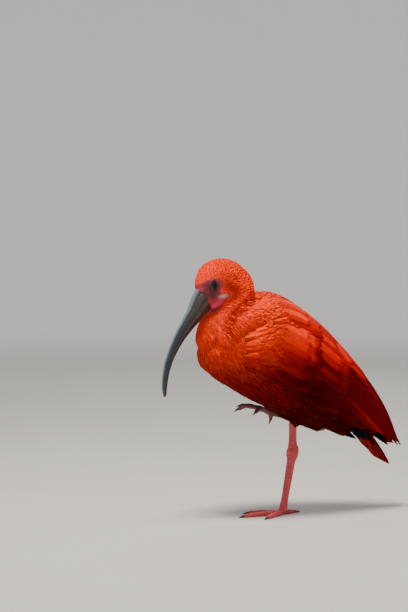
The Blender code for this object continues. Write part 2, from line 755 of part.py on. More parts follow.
def set_on_origin():
    """Moves the whole bird so that the middle of its box's underside is the origin."""
    corners = np.array([v.co for o in bpy.data.objects for v in o.data.vertices])
    low, high = corners.min(axis=0), corners.max(axis=0)
    shift = Vector((-(low[0] + high[0]) / 2, -(low[1] + high[1]) / 2, -low[2]))
    for obj in bpy.data.objects:
        for vertex in obj.data.vertices:
            vertex.co += shift


def give_surface(obj):
    """Gives obj a material of its own, from its kind's colour, and shades it smooth."""
    colour, roughness = SURFACES[obj.name.split("_")[0]]
    material = bpy.data.materials.new(obj.name)
    material.use_nodes = True
    shader = material.node_tree.nodes["Principled BSDF"]
    shader.inputs["Base Color"].default_value = (*colour, 1.0)
    shader.inputs["Roughness"].default_value = roughness
    shader.inputs["Metallic"].default_value = 0.0
    obj.data.materials.clear()
    obj.data.materials.append(material)
    obj.data.shade_smooth()
    obj.data.set_sharp_from_angle(angle=math.radians(SMOOTH_ANGLE))


def main():
    for obj in list(bpy.data.objects):
        bpy.data.objects.remove(obj)
    torso = make_torso()
    boolean(torso, "UNION", [make_neck(), make_head()])
    neck = part_by_plane(torso, "neck", NECK_CUT[0], unit(*NECK_CUT[1]))
    head = part_by_plane(neck, "head", HEAD_CUT[0], unit(*HEAD_CUT[1]))
    bill_upper, bill_lower = make_bill("bill_upper", True), make_bill("bill_lower", False)
    eyes = [make_eye("eye_left", 1), make_eye("eye_right", -1)]
    seat(head, bill_upper, bill_lower, *eyes)

    wing_left = make_wing("wing_left", 0.0)
    wing_right = mirrored(make_wing("wing_right", RIGHT_WING_DROP))
    tail = make_tail()
    seat(wing_left, torso)
    seat(wing_right, torso)
    seat(tail, torso)

    thigh_left = make_thigh("thigh_left", STANDING_THIGH, STANDING_KNEE_END)
    shank_left = make_shank("shank_left", STANDING_KNEE_END, ANKLE)
    tarsus_left = make_tarsus("tarsus_left", ANKLE, STANDING_BALL)
    seat(thigh_left, torso, shank_left)
    seat(shank_left, tarsus_left)
    make_foot("left", 1, tarsus_left, np.zeros(3), unit(0, -1, 0), unit(0, 0, 1), 0.0)

    thigh_right = make_thigh("thigh_right", TUCKED_THIGH, TUCKED_KNEE_END)
    shank_right = make_shank("shank_right", TUCKED_KNEE_END, TUCKED_ANKLE)
    tarsus_right = make_tarsus("tarsus_right", TUCKED_ANKLE, TUCKED_BALL)
    seat(thigh_right, torso, shank_right, tarsus_right)
    seat(shank_right, tarsus_right)
    seat(torso, tarsus_right)
    forward = unit(*TUCKED_WAY)
    make_foot("right", -1, tarsus_right, TUCKED_BALL, forward, np.cross(forward, [1.0, 0, 0]), 1.0)
    set_on_origin()
    for obj in bpy.data.objects:
        give_surface(obj)


main()
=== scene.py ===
# %% [markdown]
# # A scarlet ibis at rest on one leg
#
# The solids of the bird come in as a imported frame. This notebook dresses them: one skin under a coat
# of feathers, folded wings built feather by feather, a ridged bill, scaly legs and dark eyes.
# Everything is worked out in millimetres in the bird's own frame, beak towards -Y and its left side
# towards +X, and put on the frame by one shift.

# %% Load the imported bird
import json
import math

import bpy
import numpy as np
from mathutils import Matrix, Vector
from mathutils.bvhtree import BVHTree

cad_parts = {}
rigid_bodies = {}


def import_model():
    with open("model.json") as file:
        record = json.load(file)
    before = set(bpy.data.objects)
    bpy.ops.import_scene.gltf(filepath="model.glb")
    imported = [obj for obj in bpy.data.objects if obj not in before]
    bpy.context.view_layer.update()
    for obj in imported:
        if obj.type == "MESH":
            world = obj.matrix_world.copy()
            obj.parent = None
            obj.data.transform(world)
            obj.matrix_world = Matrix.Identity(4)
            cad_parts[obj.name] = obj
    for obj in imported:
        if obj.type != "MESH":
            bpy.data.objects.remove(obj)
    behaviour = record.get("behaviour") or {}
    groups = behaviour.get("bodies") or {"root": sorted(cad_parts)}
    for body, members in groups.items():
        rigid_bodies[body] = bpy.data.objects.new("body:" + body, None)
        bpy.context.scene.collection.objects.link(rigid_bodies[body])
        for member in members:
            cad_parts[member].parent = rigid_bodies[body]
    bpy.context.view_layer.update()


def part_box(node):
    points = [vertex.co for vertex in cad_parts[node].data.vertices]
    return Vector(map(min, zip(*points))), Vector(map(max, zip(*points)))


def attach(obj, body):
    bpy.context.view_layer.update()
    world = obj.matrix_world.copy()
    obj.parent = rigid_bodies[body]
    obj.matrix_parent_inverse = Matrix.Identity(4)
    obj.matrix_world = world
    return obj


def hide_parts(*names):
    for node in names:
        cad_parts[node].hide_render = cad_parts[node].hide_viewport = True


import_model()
MM = 0.001

# %% [markdown]
# ## Where the bird stands
# The body is told by rows of sections, each a back point, a belly point and a half width. The eye is
# the one solid whose centre is exactly known from its box, so it gives the shift from the rows' own
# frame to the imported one.

# %% Body rows, in millimetres
HEAD_TURN = math.radians(7.0)
HEAD_PIVOT = np.array([0.0, -80.0, 0.0])
EYE_RADIUS = 6.2
EYE_CENTRE = np.array([12.6, -121.5, 315.6])

# A section is the back's y and z, the belly's y and z, and the half width
TORSO_ROWS = np.array([
    [-112, 243, -111, 196, 32],
    [-98, 266, -98, 184.5, 42.5],
    [-75.5, 286, -79.5, 174, 50.5],
    [-47, 303.3, -57, 161, 56],
    [-16.5, 302.2, -30, 148, 58.5],
    [12.8, 287.5, -3, 136, 57.5],
    [40, 264, 25, 128.5, 53],
    [64, 237, 48, 123, 45],
    [86, 207, 68, 117, 36],
    [102, 180, 86, 111, 28],
    [113, 159, 101, 106, 22],
], float)
TORSO_FRONT = (-125.0, 219.0)
TORSO_BACK = (119.0, 126.0)
WING_ROWS = np.array([
    [-76, 284, -82, 171.5, 51],
    [-48, 300, -58, 160, 56],
    [-18, 299, -30, 148, 58.5],
    [12, 286, -3, 136, 57.5],
    [40, 267, 24, 127, 54.5],
    [68.5, 243.2, 48, 119, 50],
    [96.2, 215.6, 72, 110, 45],
    [122.2, 188, 96, 101, 38],
    [144.2, 160, 117, 93, 31.5],
    [161.2, 132.4, 135, 86, 25.5],
    [172.8, 105.4, 150, 80, 20],
], float)
HEAD_ROWS = np.array([
    [-137, 310.5, -110.5, 278.3, 12.8],
    [-137, 320.5, -102, 277.5, 16],
    [-133, 331, -97, 280.5, 18.3],
    [-125, 340.5, -91, 282, 20.5],
    [-110, 347.5, -84, 281, 22.5],
    [-92, 348.8, -76, 277, 24],
    [-74, 343.5, -68, 270, 25],
    [-60, 333, -62, 262, 26],
], float)
HEAD_FRONT = (-126.6, 293.0)
HEAD_BACK = (-52.0, 296.0)
# A row of the neck is y, z, half width and half depth
NECK_ROWS = np.array([
    [-69, 302, 25, 16],
    [-70, 289, 28.5, 30],
    [-83.5, 268, 31, 39.5],
    [-93, 251, 32, 37.2],
    [-95.5, 235, 31, 35.2],
    [-88, 216, 26, 29],
    [-82, 202, 19, 22],
], float)
print("rows:", len(TORSO_ROWS), "trunk", len(WING_ROWS), "wings", len(HEAD_ROWS), "head")


# %% The head's turn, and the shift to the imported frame
def turned(points, angle=HEAD_TURN):
    """Turns points about the neck's upright axis by the angle, as the head is turned."""
    offset = points - HEAD_PIVOT
    c, s = math.cos(angle), math.sin(angle)
    x = offset[..., 0] * c - offset[..., 1] * s
    y = offset[..., 0] * s + offset[..., 1] * c
    return np.stack([x, y, offset[..., 2]], axis=-1) + HEAD_PIVOT


eye_box = np.array(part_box("eye_left"), float) / MM
SHIFT = eye_box.mean(axis=0) - turned(EYE_CENTRE)
# The dressed eye sits a little further back and lower than the solid one
EYE_NUDGE = [0.0, 2.1, -1.2]
EYE_CENTRE += EYE_NUDGE
print("shift to the packed frame, mm:", SHIFT.round(2))

# %% [markdown]
# ## Helpers for surfaces
# A surface here is a grid of points from a formula of two parameters. It could be pulled into shape
# by hand, or built up from Blender's primitives, but a formula says exactly where each point lies,
# and one number changes it. The first helpers sample smooth curves through a few rows.

# %% Helpers for curves
def unit(vectors):
    """Vectors divided by their own length."""
    return vectors / np.maximum(np.linalg.norm(vectors, axis=-1, keepdims=True), 1e-12)


def smooth_curve(rows, place):
    """Catmull-Rom curve through rows at places counted in the rows' index, past the ends too."""
    rows = np.asarray(rows, float)
    place = np.asarray(place, float)
    last = len(rows) - 1
    padded = np.vstack([2 * rows[:1] - rows[1:2], rows, 2 * rows[-1:] - rows[-2:-1]])
    index = np.clip(np.floor(place).astype(int), 0, last - 1)
    t = (place - index)[..., None]
    p0, p1, p2, p3 = (padded[index + k] for k in range(4))
    return 0.5 * (2 * p1 + (p2 - p0) * t + (2 * p0 - 5 * p1 + 4 * p2 - p3) * t**2
                  + (3 * p1 - p0 - 3 * p2 + p3) * t**3)


def smoothstep(low, high, value):
    """0 below low, 1 above high, and 3t^2 - 2t^3 between."""
    t = np.clip((value - low) / (high - low), 0, 1)
    return t * t * (3 - 2 * t)


def run_along(path):
    """How far along a path each of its points lies: the sum of the steps before it."""
    return np.concatenate([[0], np.cumsum(np.linalg.norm(np.diff(path, axis=0), axis=1))])


print("half way from 0 to 1:", smooth_curve([[0.0], [1.0]], 0.5))

# %% [markdown]
# A mesh gets its points by foreach_set, which copies whole arrays at once and is far faster than
# adding points one by one. Quads join rings of points, and a pole closes each end.

# %% Helpers for meshes
def move_points(mesh, points):
    """Puts points in millimetres into a mesh: (point + shift) in metres."""
    mesh.vertices.foreach_set("co", ((points + SHIFT) * MM).astype(np.float32).ravel())


def put_values(mesh, label, values):
    """Stores one number, or one vector, per point under a name."""
    values = np.asarray(values, np.float32)
    kind, key = ("FLOAT", "value") if values.ndim == 1 else ("FLOAT_VECTOR", "vector")
    mesh.attributes.new(label, kind, "POINT").data.foreach_set(key, values.ravel())


def mesh_object(name, points, quads, triangles=()):
    """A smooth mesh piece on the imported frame, from points in millimetres and arrays of faces."""
    quads = np.asarray(quads, np.int32).reshape(-1, 4)
    triangles = np.asarray(triangles, np.int32).reshape(-1, 3)
    corners = np.concatenate([quads.ravel(), triangles.ravel()])
    starts = np.concatenate([np.arange(len(quads)) * 4, quads.size + np.arange(len(triangles)) * 3])
    mesh = bpy.data.meshes.new(name)
    mesh.vertices.add(len(points))
    move_points(mesh, points)
    mesh.loops.add(len(corners))
    mesh.loops.foreach_set("vertex_index", corners)
    mesh.polygons.add(len(starts))
    mesh.polygons.foreach_set("loop_start", starts.astype(np.int32))
    mesh.update(calc_edges=True)
    mesh.shade_smooth()
    piece = bpy.data.objects.new(name, mesh)
    bpy.context.scene.collection.objects.link(piece)
    return piece


def ring_faces(rings, around):
    """Quads between rings of points numbered ring by ring, each ring closed on itself."""
    i, j = np.meshgrid(np.arange(rings - 1), np.arange(around), indexing="ij")
    k = (j + 1) % around
    return np.stack([i * around + j, i * around + k, (i + 1) * around + k, (i + 1) * around + j],
                    axis=-1).reshape(-1, 4)


def closed_rings(grid, start=None, end=None):
    """Points, quads and triangles of a closed surface: rings with a pole at each end."""
    rings, around = grid.shape[:2]
    start = grid[0].mean(axis=0) if start is None else np.asarray(start, float)
    end = grid[-1].mean(axis=0) if end is None else np.asarray(end, float)
    points = np.vstack([grid.reshape(-1, 3), start, end])
    j = np.arange(around)
    k = (j + 1) % around
    first = np.full(around, rings * around)
    base = (rings - 1) * around
    triangles = np.vstack([np.stack([first, k, j], 1), np.stack([first + 1, base + j, base + k], 1)])
    return points, ring_faces(rings, around), triangles


print("quads between 3 rings of 8 points:", len(ring_faces(3, 8)))

# %% [markdown]
# Two surfaces come back again and again: an ellipse carried along the body's sections, and a ring
# carried along a path. Both are worked out for a whole grid of places and angles at once.

# %% Helpers for bodies and tubes
def ring_angles(around):
    """Even angles once round a ring, in radians: 2 pi k / around."""
    return np.linspace(0, 2 * math.pi, around, endpoint=False)


def mirrored(points, side):
    """Points of the left side for side 1, or set across the middle for side -1: x times side."""
    return np.asarray(points) * np.array([side, 1, 1])


def ellipse_point(rows, place, angle, lift):
    """A point on a body's surface: centre + half cos(angle) + width sin(angle), raised by lift."""
    row = smooth_curve(rows, place)
    zero = np.zeros(row.shape[:-1])
    back = np.stack([zero, row[..., 0], row[..., 1]], -1)
    belly = np.stack([zero, row[..., 2], row[..., 3]], -1)
    centre, half = (back + belly) / 2, (back - belly) / 2
    width = row[..., 4:5] * np.array([1.0, 0, 0])
    c, s = np.cos(angle)[..., None], np.sin(angle)[..., None]
    out = unit(half * c / (half**2).sum(-1, keepdims=True)
               + width * s / (width**2).sum(-1, keepdims=True))
    return centre + half * c + width * s + out * np.asarray(lift, float)[..., None]


def tube_grid(path, side_radius, up_radius, around, up):
    """Rings round a path: path + side cos(angle) side_radius + above sin(angle) up_radius."""
    tangent = unit(np.gradient(path, axis=0))
    side = unit(np.cross(tangent, np.asarray(up, float)))
    above = np.cross(side, tangent)
    angle = ring_angles(around)
    radius_side = np.broadcast_to(side_radius, len(path))[:, None, None]
    radius_up = np.broadcast_to(up_radius, len(path))[:, None, None]
    return (path[:, None] + side[:, None] * np.cos(angle)[:, None] * radius_side
            + above[:, None] * np.sin(angle)[:, None] * radius_up)


middle = ellipse_point(TORSO_ROWS, np.array([5.0]), np.array([0.0]), np.zeros(1))
print("the back over the trunk's middle, mm:", middle.round(1))

# %% [markdown]
# ## One skin for the whole body
# A bird's body is one skin with no seams. It could be made of separate parts that touch, but joins
# would show wherever feathers part. So trunk, neck, head, the muscled inner wings, the tail's root
# and the thighs are closed shapes that overlap, each drawn in by the depth of the coat over it. A
# voxel remesh joins them into one surface and a smoothing pass rounds the joins.

# %% Closed forms for trunk, neck and head
BODY_COAT, NECK_COAT, HEAD_COAT, WING_COAT, THIGH_COAT = 1.7, 1.6, 1.0, 1.2, 1.8
DOME_SHARES = np.array([0.03, 0.12, 0.27, 0.48, 0.74])
EYE_MOUND = np.array([4.2, 9.4, 8.2])


def sectioned_form(rows, front, back, inset, rings=44, around=56):
    """A closed body: centre + half cos(angle) + width sin(angle), with a dome at both ends.

    At the share s of the way from its pole, a dome's ring is the end ring times sqrt(1 - (1 - s)^2).
    """
    place, angle = np.meshgrid(np.linspace(0, len(rows) - 1, rings), ring_angles(around),
                               indexing="ij")
    grid = ellipse_point(rows, place, angle, np.full(place.shape, -inset))
    shares = DOME_SHARES[:, None, None]
    caps = []
    for ring, pole in ((grid[0], front), (grid[-1], back)):
        centre = ring.mean(axis=0)
        pole = np.array([0.0, *pole])
        pole = pole + unit(centre - pole) * inset
        caps.append(pole + (centre - pole) * shares
                    + (ring - centre) * np.sqrt(1 - (1 - shares) ** 2))
    return closed_rings(np.vstack([caps[0], grid, caps[1][::-1]]))


def neck_form(inset):
    """The drawn-in neck, level ellipses down a short column: width cos(angle), depth sin(angle)."""
    rows = smooth_curve(NECK_ROWS, np.linspace(0, len(NECK_ROWS) - 1, 30))
    angle = ring_angles(48)
    y, z, width, depth = (rows[:, k:k + 1] for k in range(4))
    grid = np.stack([(width - inset) * np.cos(angle), y + (depth - inset) * np.sin(angle),
                     z + 0 * angle], axis=-1)
    return closed_rings(grid)


def ball_form(centre, radii, rings=14, around=28):
    """An ellipsoid: centre + radii * (sin(h) cos(angle), sin(h) sin(angle), cos(h))."""
    height, angle = np.meshgrid(np.linspace(0, math.pi, rings + 2)[1:-1], ring_angles(around),
                                indexing="ij")
    grid = np.stack([np.sin(height) * np.cos(angle), np.sin(height) * np.sin(angle),
                     np.cos(height)], -1)
    top = np.array([0, 0, radii[2]])
    return closed_rings(np.asarray(centre) + grid * radii, centre + top, centre - top)


def head_forms():
    """The head with the low mounds that carry the eyelids, turned as the head is."""
    forms = [sectioned_form(HEAD_ROWS, HEAD_FRONT, HEAD_BACK, HEAD_COAT)]
    for side in (-1, 1):
        forms.append(ball_form(mirrored(EYE_CENTRE, side), EYE_MOUND))
    return [(turned(points), quads, triangles) for points, quads, triangles in forms]


skin_forms = [sectioned_form(TORSO_ROWS, TORSO_FRONT, TORSO_BACK, BODY_COAT),
              neck_form(NECK_COAT), *head_forms()]
print("forms of trunk, neck and head:", len(skin_forms))

# %% [markdown]
# Under its feathers a folded wing is a pad of muscle and bone, thick at the bend and thin behind. It
# could be a separate shell, but as a pad that grows out of the trunk it leaves no gap at its edge.

# %% The muscled inner wings
LANE_SPREAD = 86.0
WING_REACH = (25.0, LANE_SPREAD + 16)
RIGHT_WING_DROP = 4.0
PAD_BURIED = -9.0


def core_edges(share):
    """Where the muscled wing starts and ends along the body, at a share of the way down it."""
    front = 0.3 + 1.7 * share**5 + 0.5 * (1 - share) ** 6
    return front, 5.0 + 0.5 * np.sin(math.pi * share)


def core_height(place, share):
    """How far the muscled wing stands off the body: thickest at the bend, thinning to the rear."""
    front, rear = core_edges(share)
    u = np.clip((place - front) / (rear - front), 0, 1)
    swell = (1 - np.abs(2 * share - 1) ** 6) * np.minimum(1.0, 3.5 * u) ** 0.6
    return 0.4 + 5.4 * swell * (1 - u) ** 0.7 + 1.6 * swell * np.sqrt(1 - u)


def wing_pad(side, drop, inset):
    """The inner wing as a thin closed pad between an outer and an inner sheet of one grid."""
    rows, columns = 40, 36
    share, u = np.meshgrid(np.linspace(0, 1, columns), np.linspace(0, 1, rows), indexing="ij")
    front, rear = core_edges(share)
    place = front + (rear - front) * u
    angle = np.radians(WING_REACH[0] + drop + WING_REACH[1] * share)
    outer = ellipse_point(WING_ROWS, place, angle, core_height(place, share) - inset)
    inner = ellipse_point(WING_ROWS, place, angle, np.full(place.shape, PAD_BURIED))
    points = mirrored(np.vstack([outer.reshape(-1, 3), inner.reshape(-1, 3)]), side)
    j, i = np.meshgrid(np.arange(columns - 1), np.arange(rows - 1), indexing="ij")
    a = (j * rows + i).ravel()
    top = np.stack([a, a + 1, a + rows + 1, a + rows], 1)
    rim = np.concatenate([np.arange(rows), np.arange(1, columns) * rows + rows - 1,
                          (columns - 1) * rows + np.arange(rows - 2, -1, -1),
                          np.arange(columns - 2, 0, -1) * rows])
    turn = np.roll(rim, -1)
    count = rows * columns
    wall = np.stack([rim, rim + count, turn + count, turn], 1)
    quads = np.vstack([top, top[:, ::-1] + count, wall])
    return points, quads if side > 0 else quads[:, ::-1], np.zeros((0, 3), int)


skin_forms += [wing_pad(1, 0.0, WING_COAT), wing_pad(-1, RIGHT_WING_DROP, WING_COAT)]
print("the wing's muscle stands off by up to", core_height(np.array([1.2]), np.array([0.5])).round(1))

# %% [markdown]
# Thighs, the feathered cover of the tucked leg, the vent and the puffed shoulders are round in
# section, so each is a limb: rings along a path through rows of a centre and a radius.

# %% Limbs, vent, shoulders and the tail's root
STANDING_THIGH = ((17, 36, 168, 26), (15, 28, 148, 22), (10, 17.5, 132, 12), (7, 10.5, 119, 5.5))
TUCKED_THIGH = ((-26, 4, 156, 17), (-27, 21, 144, 15), (-25, 38, 131.5, 10.5), (-23, 53, 124.5, 5.5))
# Belly feathers bury the tucked leg, from the knee to the ankle and back to the toes' root
TUCKED_COVER = ((-25, 38, 131, 12), (-23.5, 57, 122, 11), (-21.5, 71, 116, 10.4),
                (-20.5, 52, 123, 10.2), (-19, 34, 128.5, 10), (-17.5, 16, 135, 9.6), (-16, 1, 141.5, 9))
# Vent feathers run from between the thighs to under the tail
VENT = ((0, 38, 143, 20), (0, 66, 129, 15.5), (0, 84, 118.5, 13), (0, 100, 109, 10))
# The shoulder's feathers puff up beside the neck; this is the left one
SHOULDER_ROLL = np.array([[38, -40, 268, 18], [35, -62, 267, 16.5], [32, -82, 260, 15.5],
                          [31, -95, 248, 14], [29, -101, 232, 12]], float)
TAIL_PITCH = math.radians(54.0)
TAIL_ROOT = np.array([0.0, 106.0, 138.0])
TAIL_WAY = np.array([0.0, math.cos(TAIL_PITCH), -math.sin(TAIL_PITCH)])
TAIL_UP = np.array([0.0, math.sin(TAIL_PITCH), math.cos(TAIL_PITCH)])
# A row of the tail's root is its run, its height, and its two radii
TAIL_CORE = ((-7, -6.5, 18, 18), (12, -5.5, 17.5, 14), (34, -2.5, 16, 7.5), (58, 0, 13, 2.4))
TAIL_INSET = 1.5


def limb_form(rows, inset, around=24, rings=18):
    """A round limb: path + (radius - inset) (side cos(angle) + above sin(angle))."""
    rows = smooth_curve(np.asarray(rows, float), np.linspace(0, len(rows) - 1, rings))
    radius = rows[:, 3] - inset
    return closed_rings(tube_grid(rows[:, :3], radius, radius, around, (0, 1, 0)))


def tail_form(inset):
    """The short fleshy root of the tail, an ellipse that flattens to the rear."""
    rows = smooth_curve(np.array(TAIL_CORE, float), np.linspace(0, 3, 16))
    path = TAIL_ROOT + rows[:, :1] * TAIL_WAY + rows[:, 1:2] * TAIL_UP
    sizes = np.maximum(rows[:, 2:] - inset, 1.0)
    return closed_rings(tube_grid(path, sizes[:, 0], sizes[:, 1], 28, (0, 1, 0.3)))


skin_forms.append(tail_form(TAIL_INSET))
for limb in (STANDING_THIGH, TUCKED_THIGH, TUCKED_COVER[:3], TUCKED_COVER[2:]):
    skin_forms.append(limb_form(limb, THIGH_COAT))
skin_forms.append(limb_form(VENT, BODY_COAT))
for side in (1, -1):
    skin_forms.append(limb_form(SHOULDER_ROLL * [side, 1, 1, 1], NECK_COAT))
print("closed forms in all:", len(skin_forms))

# %% [markdown]
# A voxel remesh lays one even skin round everything that overlaps. Its voxels are small enough to
# keep the face's forms, and a few smoothing passes take away the steps they leave.

# %% The forms joined into one skin
SKIN_VOXEL, SKIN_PASSES = 1.7, 7


def joined(forms):
    """Several closed forms as one set of points, quads and triangles."""
    start = np.cumsum([0] + [len(f[0]) for f in forms[:-1]])
    return (np.vstack([f[0] for f in forms]),
            np.vstack([np.asarray(f[1]).reshape(-1, 4) + s for f, s in zip(forms, start)]),
            np.vstack([np.asarray(f[2]).reshape(-1, 3) + s for f, s in zip(forms, start)]))


def fused(piece, voxel, passes):
    """Joins overlapping shapes by a voxel remesh and a smoothing pass, both applied."""
    remesh = piece.modifiers.new("join", "REMESH")
    remesh.mode = "VOXEL"
    remesh.voxel_size = voxel * MM
    remesh.use_smooth_shade = True
    smooth = piece.modifiers.new("round", "SMOOTH")
    smooth.factor = 0.5
    smooth.iterations = passes
    graph = bpy.context.evaluated_depsgraph_get()
    done = bpy.data.meshes.new_from_object(piece.evaluated_get(graph))
    piece.modifiers.clear()
    piece.data = done
    piece.data.shade_smooth()
    return piece


skin = fused(mesh_object("skin", *joined(skin_forms)), SKIN_VOXEL, SKIN_PASSES)
print("skin faces:", len(skin.data.polygons))

# %% [markdown]
# ## The bill
# An ibis's bill is a long decurved probe: a deep base with a groove from each nostril, then a slim
# round rod. A curve with a bevel would be round all over, so each half is a half-round swept along
# the bill's centre line, with its height, its width and the grooves told by the share of the way.

# %% Bill
BILL_LINE = np.array([
    [-123, 301], [-131, 291], [-139, 279.3], [-148.8, 266.3], [-162.5, 248.5],
    [-173, 231.5], [-181, 214.5], [-185.6, 198], [-187.6, 182], [-187, 168.5],
], float)
BILL_SHARES = [0, 0.1, 0.2, 0.3, 0.4, 0.55, 0.65, 0.9, 0.97, 1]
BILL_ABOVE = [16.0, 13.2, 10.6, 9.4, 8.3, 6.5, 5.8, 4.0, 2.9, 1.3]
BILL_BELOW = [20.0, 18.3, 14.6, 11.2, 9.4, 7.2, 6.3, 4.3, 3.1, 1.4]
BILL_WIDTHS = [20.0, 17.4, 14.2, 11.8, 10.0, 8.0, 7.2, 5.6, 4.4, 2.0]
GAPE_LINE = 0.15


def bill_half(name, upper, rings=110, around=28):
    """Half of the bill: line + normal * reach sin(angle)^0.92 + side * width cos(angle) / 2.

    Both are scaled by a shape that dips along the groove and swells on the ridge beside it.
    """
    line = smooth_curve(BILL_LINE, np.linspace(0, len(BILL_LINE) - 1, rings))
    tangent = unit(np.gradient(line, axis=0))
    normal = np.stack([tangent[:, 1], -tangent[:, 0]], 1)
    run = run_along(line)
    share = run / run[-1]
    reach = np.interp(share, BILL_SHARES, BILL_ABOVE if upper else BILL_BELOW)[:, None]
    width = np.interp(share, BILL_SHARES, BILL_WIDTHS)[:, None]
    angle = np.linspace(0, math.pi, around)
    lean = np.abs(angle - math.pi / 2)
    far = share[:, None]
    groove = np.exp(-((lean - 0.82) / 0.16) ** 2) * np.clip(1.15 - far * 1.25, 0, 1)
    ridge = np.exp(-((lean - 0.42) / 0.14) ** 2) * np.clip(1 - far * 1.8, 0, 1)
    shape = 1 - (0.13 * groove - 0.035 * ridge if upper else 0.05 * groove)
    shape = shape * (0.93 + 0.07 * np.clip(far / 0.05, 0, 1))
    across = width / 2 * np.cos(angle) * shape
    above = (GAPE_LINE + (reach - GAPE_LINE) * np.sin(angle) ** 0.92) * shape * (1 if upper else -1)
    grid = np.stack([across, line[:, :1] + normal[:, :1] * above,
                     line[:, 1:] + normal[:, 1:] * above], -1)
    points, quads, triangles = closed_rings(turned(grid))
    if not upper:
        quads, triangles = quads[:, ::-1], triangles[:, ::-1]
    piece = mesh_object(name, points, quads, triangles)
    put_values(piece.data, "along", np.concatenate([np.repeat(share, around), [0, 1]]))
    put_values(piece.data, "ridge", np.concatenate([np.tile(np.sin(angle), rings), [0.5, 0.5]]))
    return piece


bill_upper = bill_half("bill_upper_horn", True)
bill_lower = bill_half("bill_lower_horn", False)
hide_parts("bill_upper")
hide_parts("bill_lower")
bill_run = run_along(smooth_curve(BILL_LINE, np.linspace(0, len(BILL_LINE) - 1, 110)))
print("bill along its curve, mm:", bill_run[-1].round(1))

# %% [markdown]
# ## Eyes and lids
# The eye is a dark wet ball that bulges a little over its pupil, and the lid a soft ring of bare
# skin round its opening. The lid could be pressed out of the skin, but as a ring of its own it keeps
# a crisp edge that a remesh would round off.

# %% Eyes and lids
LID_OPENING = 4.9
LID_AROUND, LID_SECTION = 72, 16


def eye_ball(name, side):
    """A ball that bulges over the pupil: radius (0.985 + 0.04 exp(-(angle / 0.55)^2))."""
    tip, angle = np.meshgrid(np.linspace(0, math.pi, 34)[1:-1], ring_angles(40), indexing="ij")
    radius = EYE_RADIUS * (0.985 + 0.04 * np.exp(-(tip / 0.55) ** 2))
    grid = np.stack([np.cos(tip) * radius * side, np.sin(tip) * np.cos(angle) * radius * side,
                     np.sin(tip) * np.sin(angle) * radius], -1)
    centre = mirrored(EYE_CENTRE, side)
    pole = np.array([EYE_RADIUS * side, 0, 0])
    points, quads, triangles = closed_rings(grid + centre, centre + pole * 1.025, centre - pole * 0.985)
    return mesh_object(name, turned(points), quads[:, ::-1], triangles[:, ::-1])


def lid_ring(name, side):
    """A lid: a ring round the opening, its cross-section an ellipse that flattens outwards."""
    around, angle = np.meshgrid(ring_angles(LID_AROUND), ring_angles(LID_SECTION), indexing="ij")
    opening = LID_OPENING * (0.9 - 0.06 * np.cos(2 * around))
    thick = 0.95 + 0.15 * np.cos(around) ** 2
    wrinkle = 1 + 0.03 * np.sin(around * 9) * np.clip(np.cos(angle), 0, 1)
    out = (opening + thick * 1.5 + thick * 1.7 * np.cos(angle)) * wrinkle
    height = 4.15 + thick * 0.95 * np.sin(angle) - 0.34 * (np.cos(angle) + 1)
    grid = np.stack([side * height, side * out * np.cos(around) * 1.04, out * np.sin(around)], -1)
    points = turned(grid + mirrored(EYE_CENTRE, side)).reshape(-1, 3)
    quads = ring_faces(LID_AROUND + 1, LID_SECTION) % (LID_AROUND * LID_SECTION)
    return mesh_object(name, points, quads)


eyes = [eye_ball("eyeball_left", 1), eye_ball("eyeball_right", -1)]
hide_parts("eye_left")
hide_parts("eye_right")
lids = [lid_ring("lid_left", 1), lid_ring("lid_right", -1)]
print("eyes across, mm:", 2 * EYE_RADIUS, "lid faces:", len(lids[0].data.polygons))


# %% [markdown]
# ## Legs, toes and claws
# An ibis's leg is bone and sinew under scaly skin: a knob at the ankle, three toes ahead and one
# behind. It could be a chain of cylinders, but their joins would show, so the bare leg is one skin
# too. First come the toes' centre lines, since skin and claws both need them.

# %% Joints of the legs and lines of the toes
ANKLE = np.array([4.0, 13.0, 84.5])
STANDING_KNEE = np.array([7.0, 11.5, 119.0])
STANDING_BALL = np.array([0.0, 0.0, 4.0])
TUCKED_ANKLE = np.array([-22.0, 69.0, 115.0])
TUCKED_KNEE = np.array([-23.0, 53.0, 124.5])
TUCKED_BALL = np.array([-18.0, -11.0, 138.0])
MIDDLE_TOE = 62.0
# The tucked foot's toes are folded, so they reach less far along their own direction
TUCKED_WAY = (0.236, -0.927, 0.29)
TUCKED_TOE = 0.88
TUCKED_HIND = 0.48
TUCKED_SPREAD = 0.6
# A toe is its name, its angle from straight ahead, and its share of the middle toe's length
TOES = (("inner", -33, 0.74), ("middle", 2, 1.0), ("outer", 36, 0.84), ("hind", 196, 0.42))
TOE_RADIUS, HIND_RADIUS = 3.9, 3.4


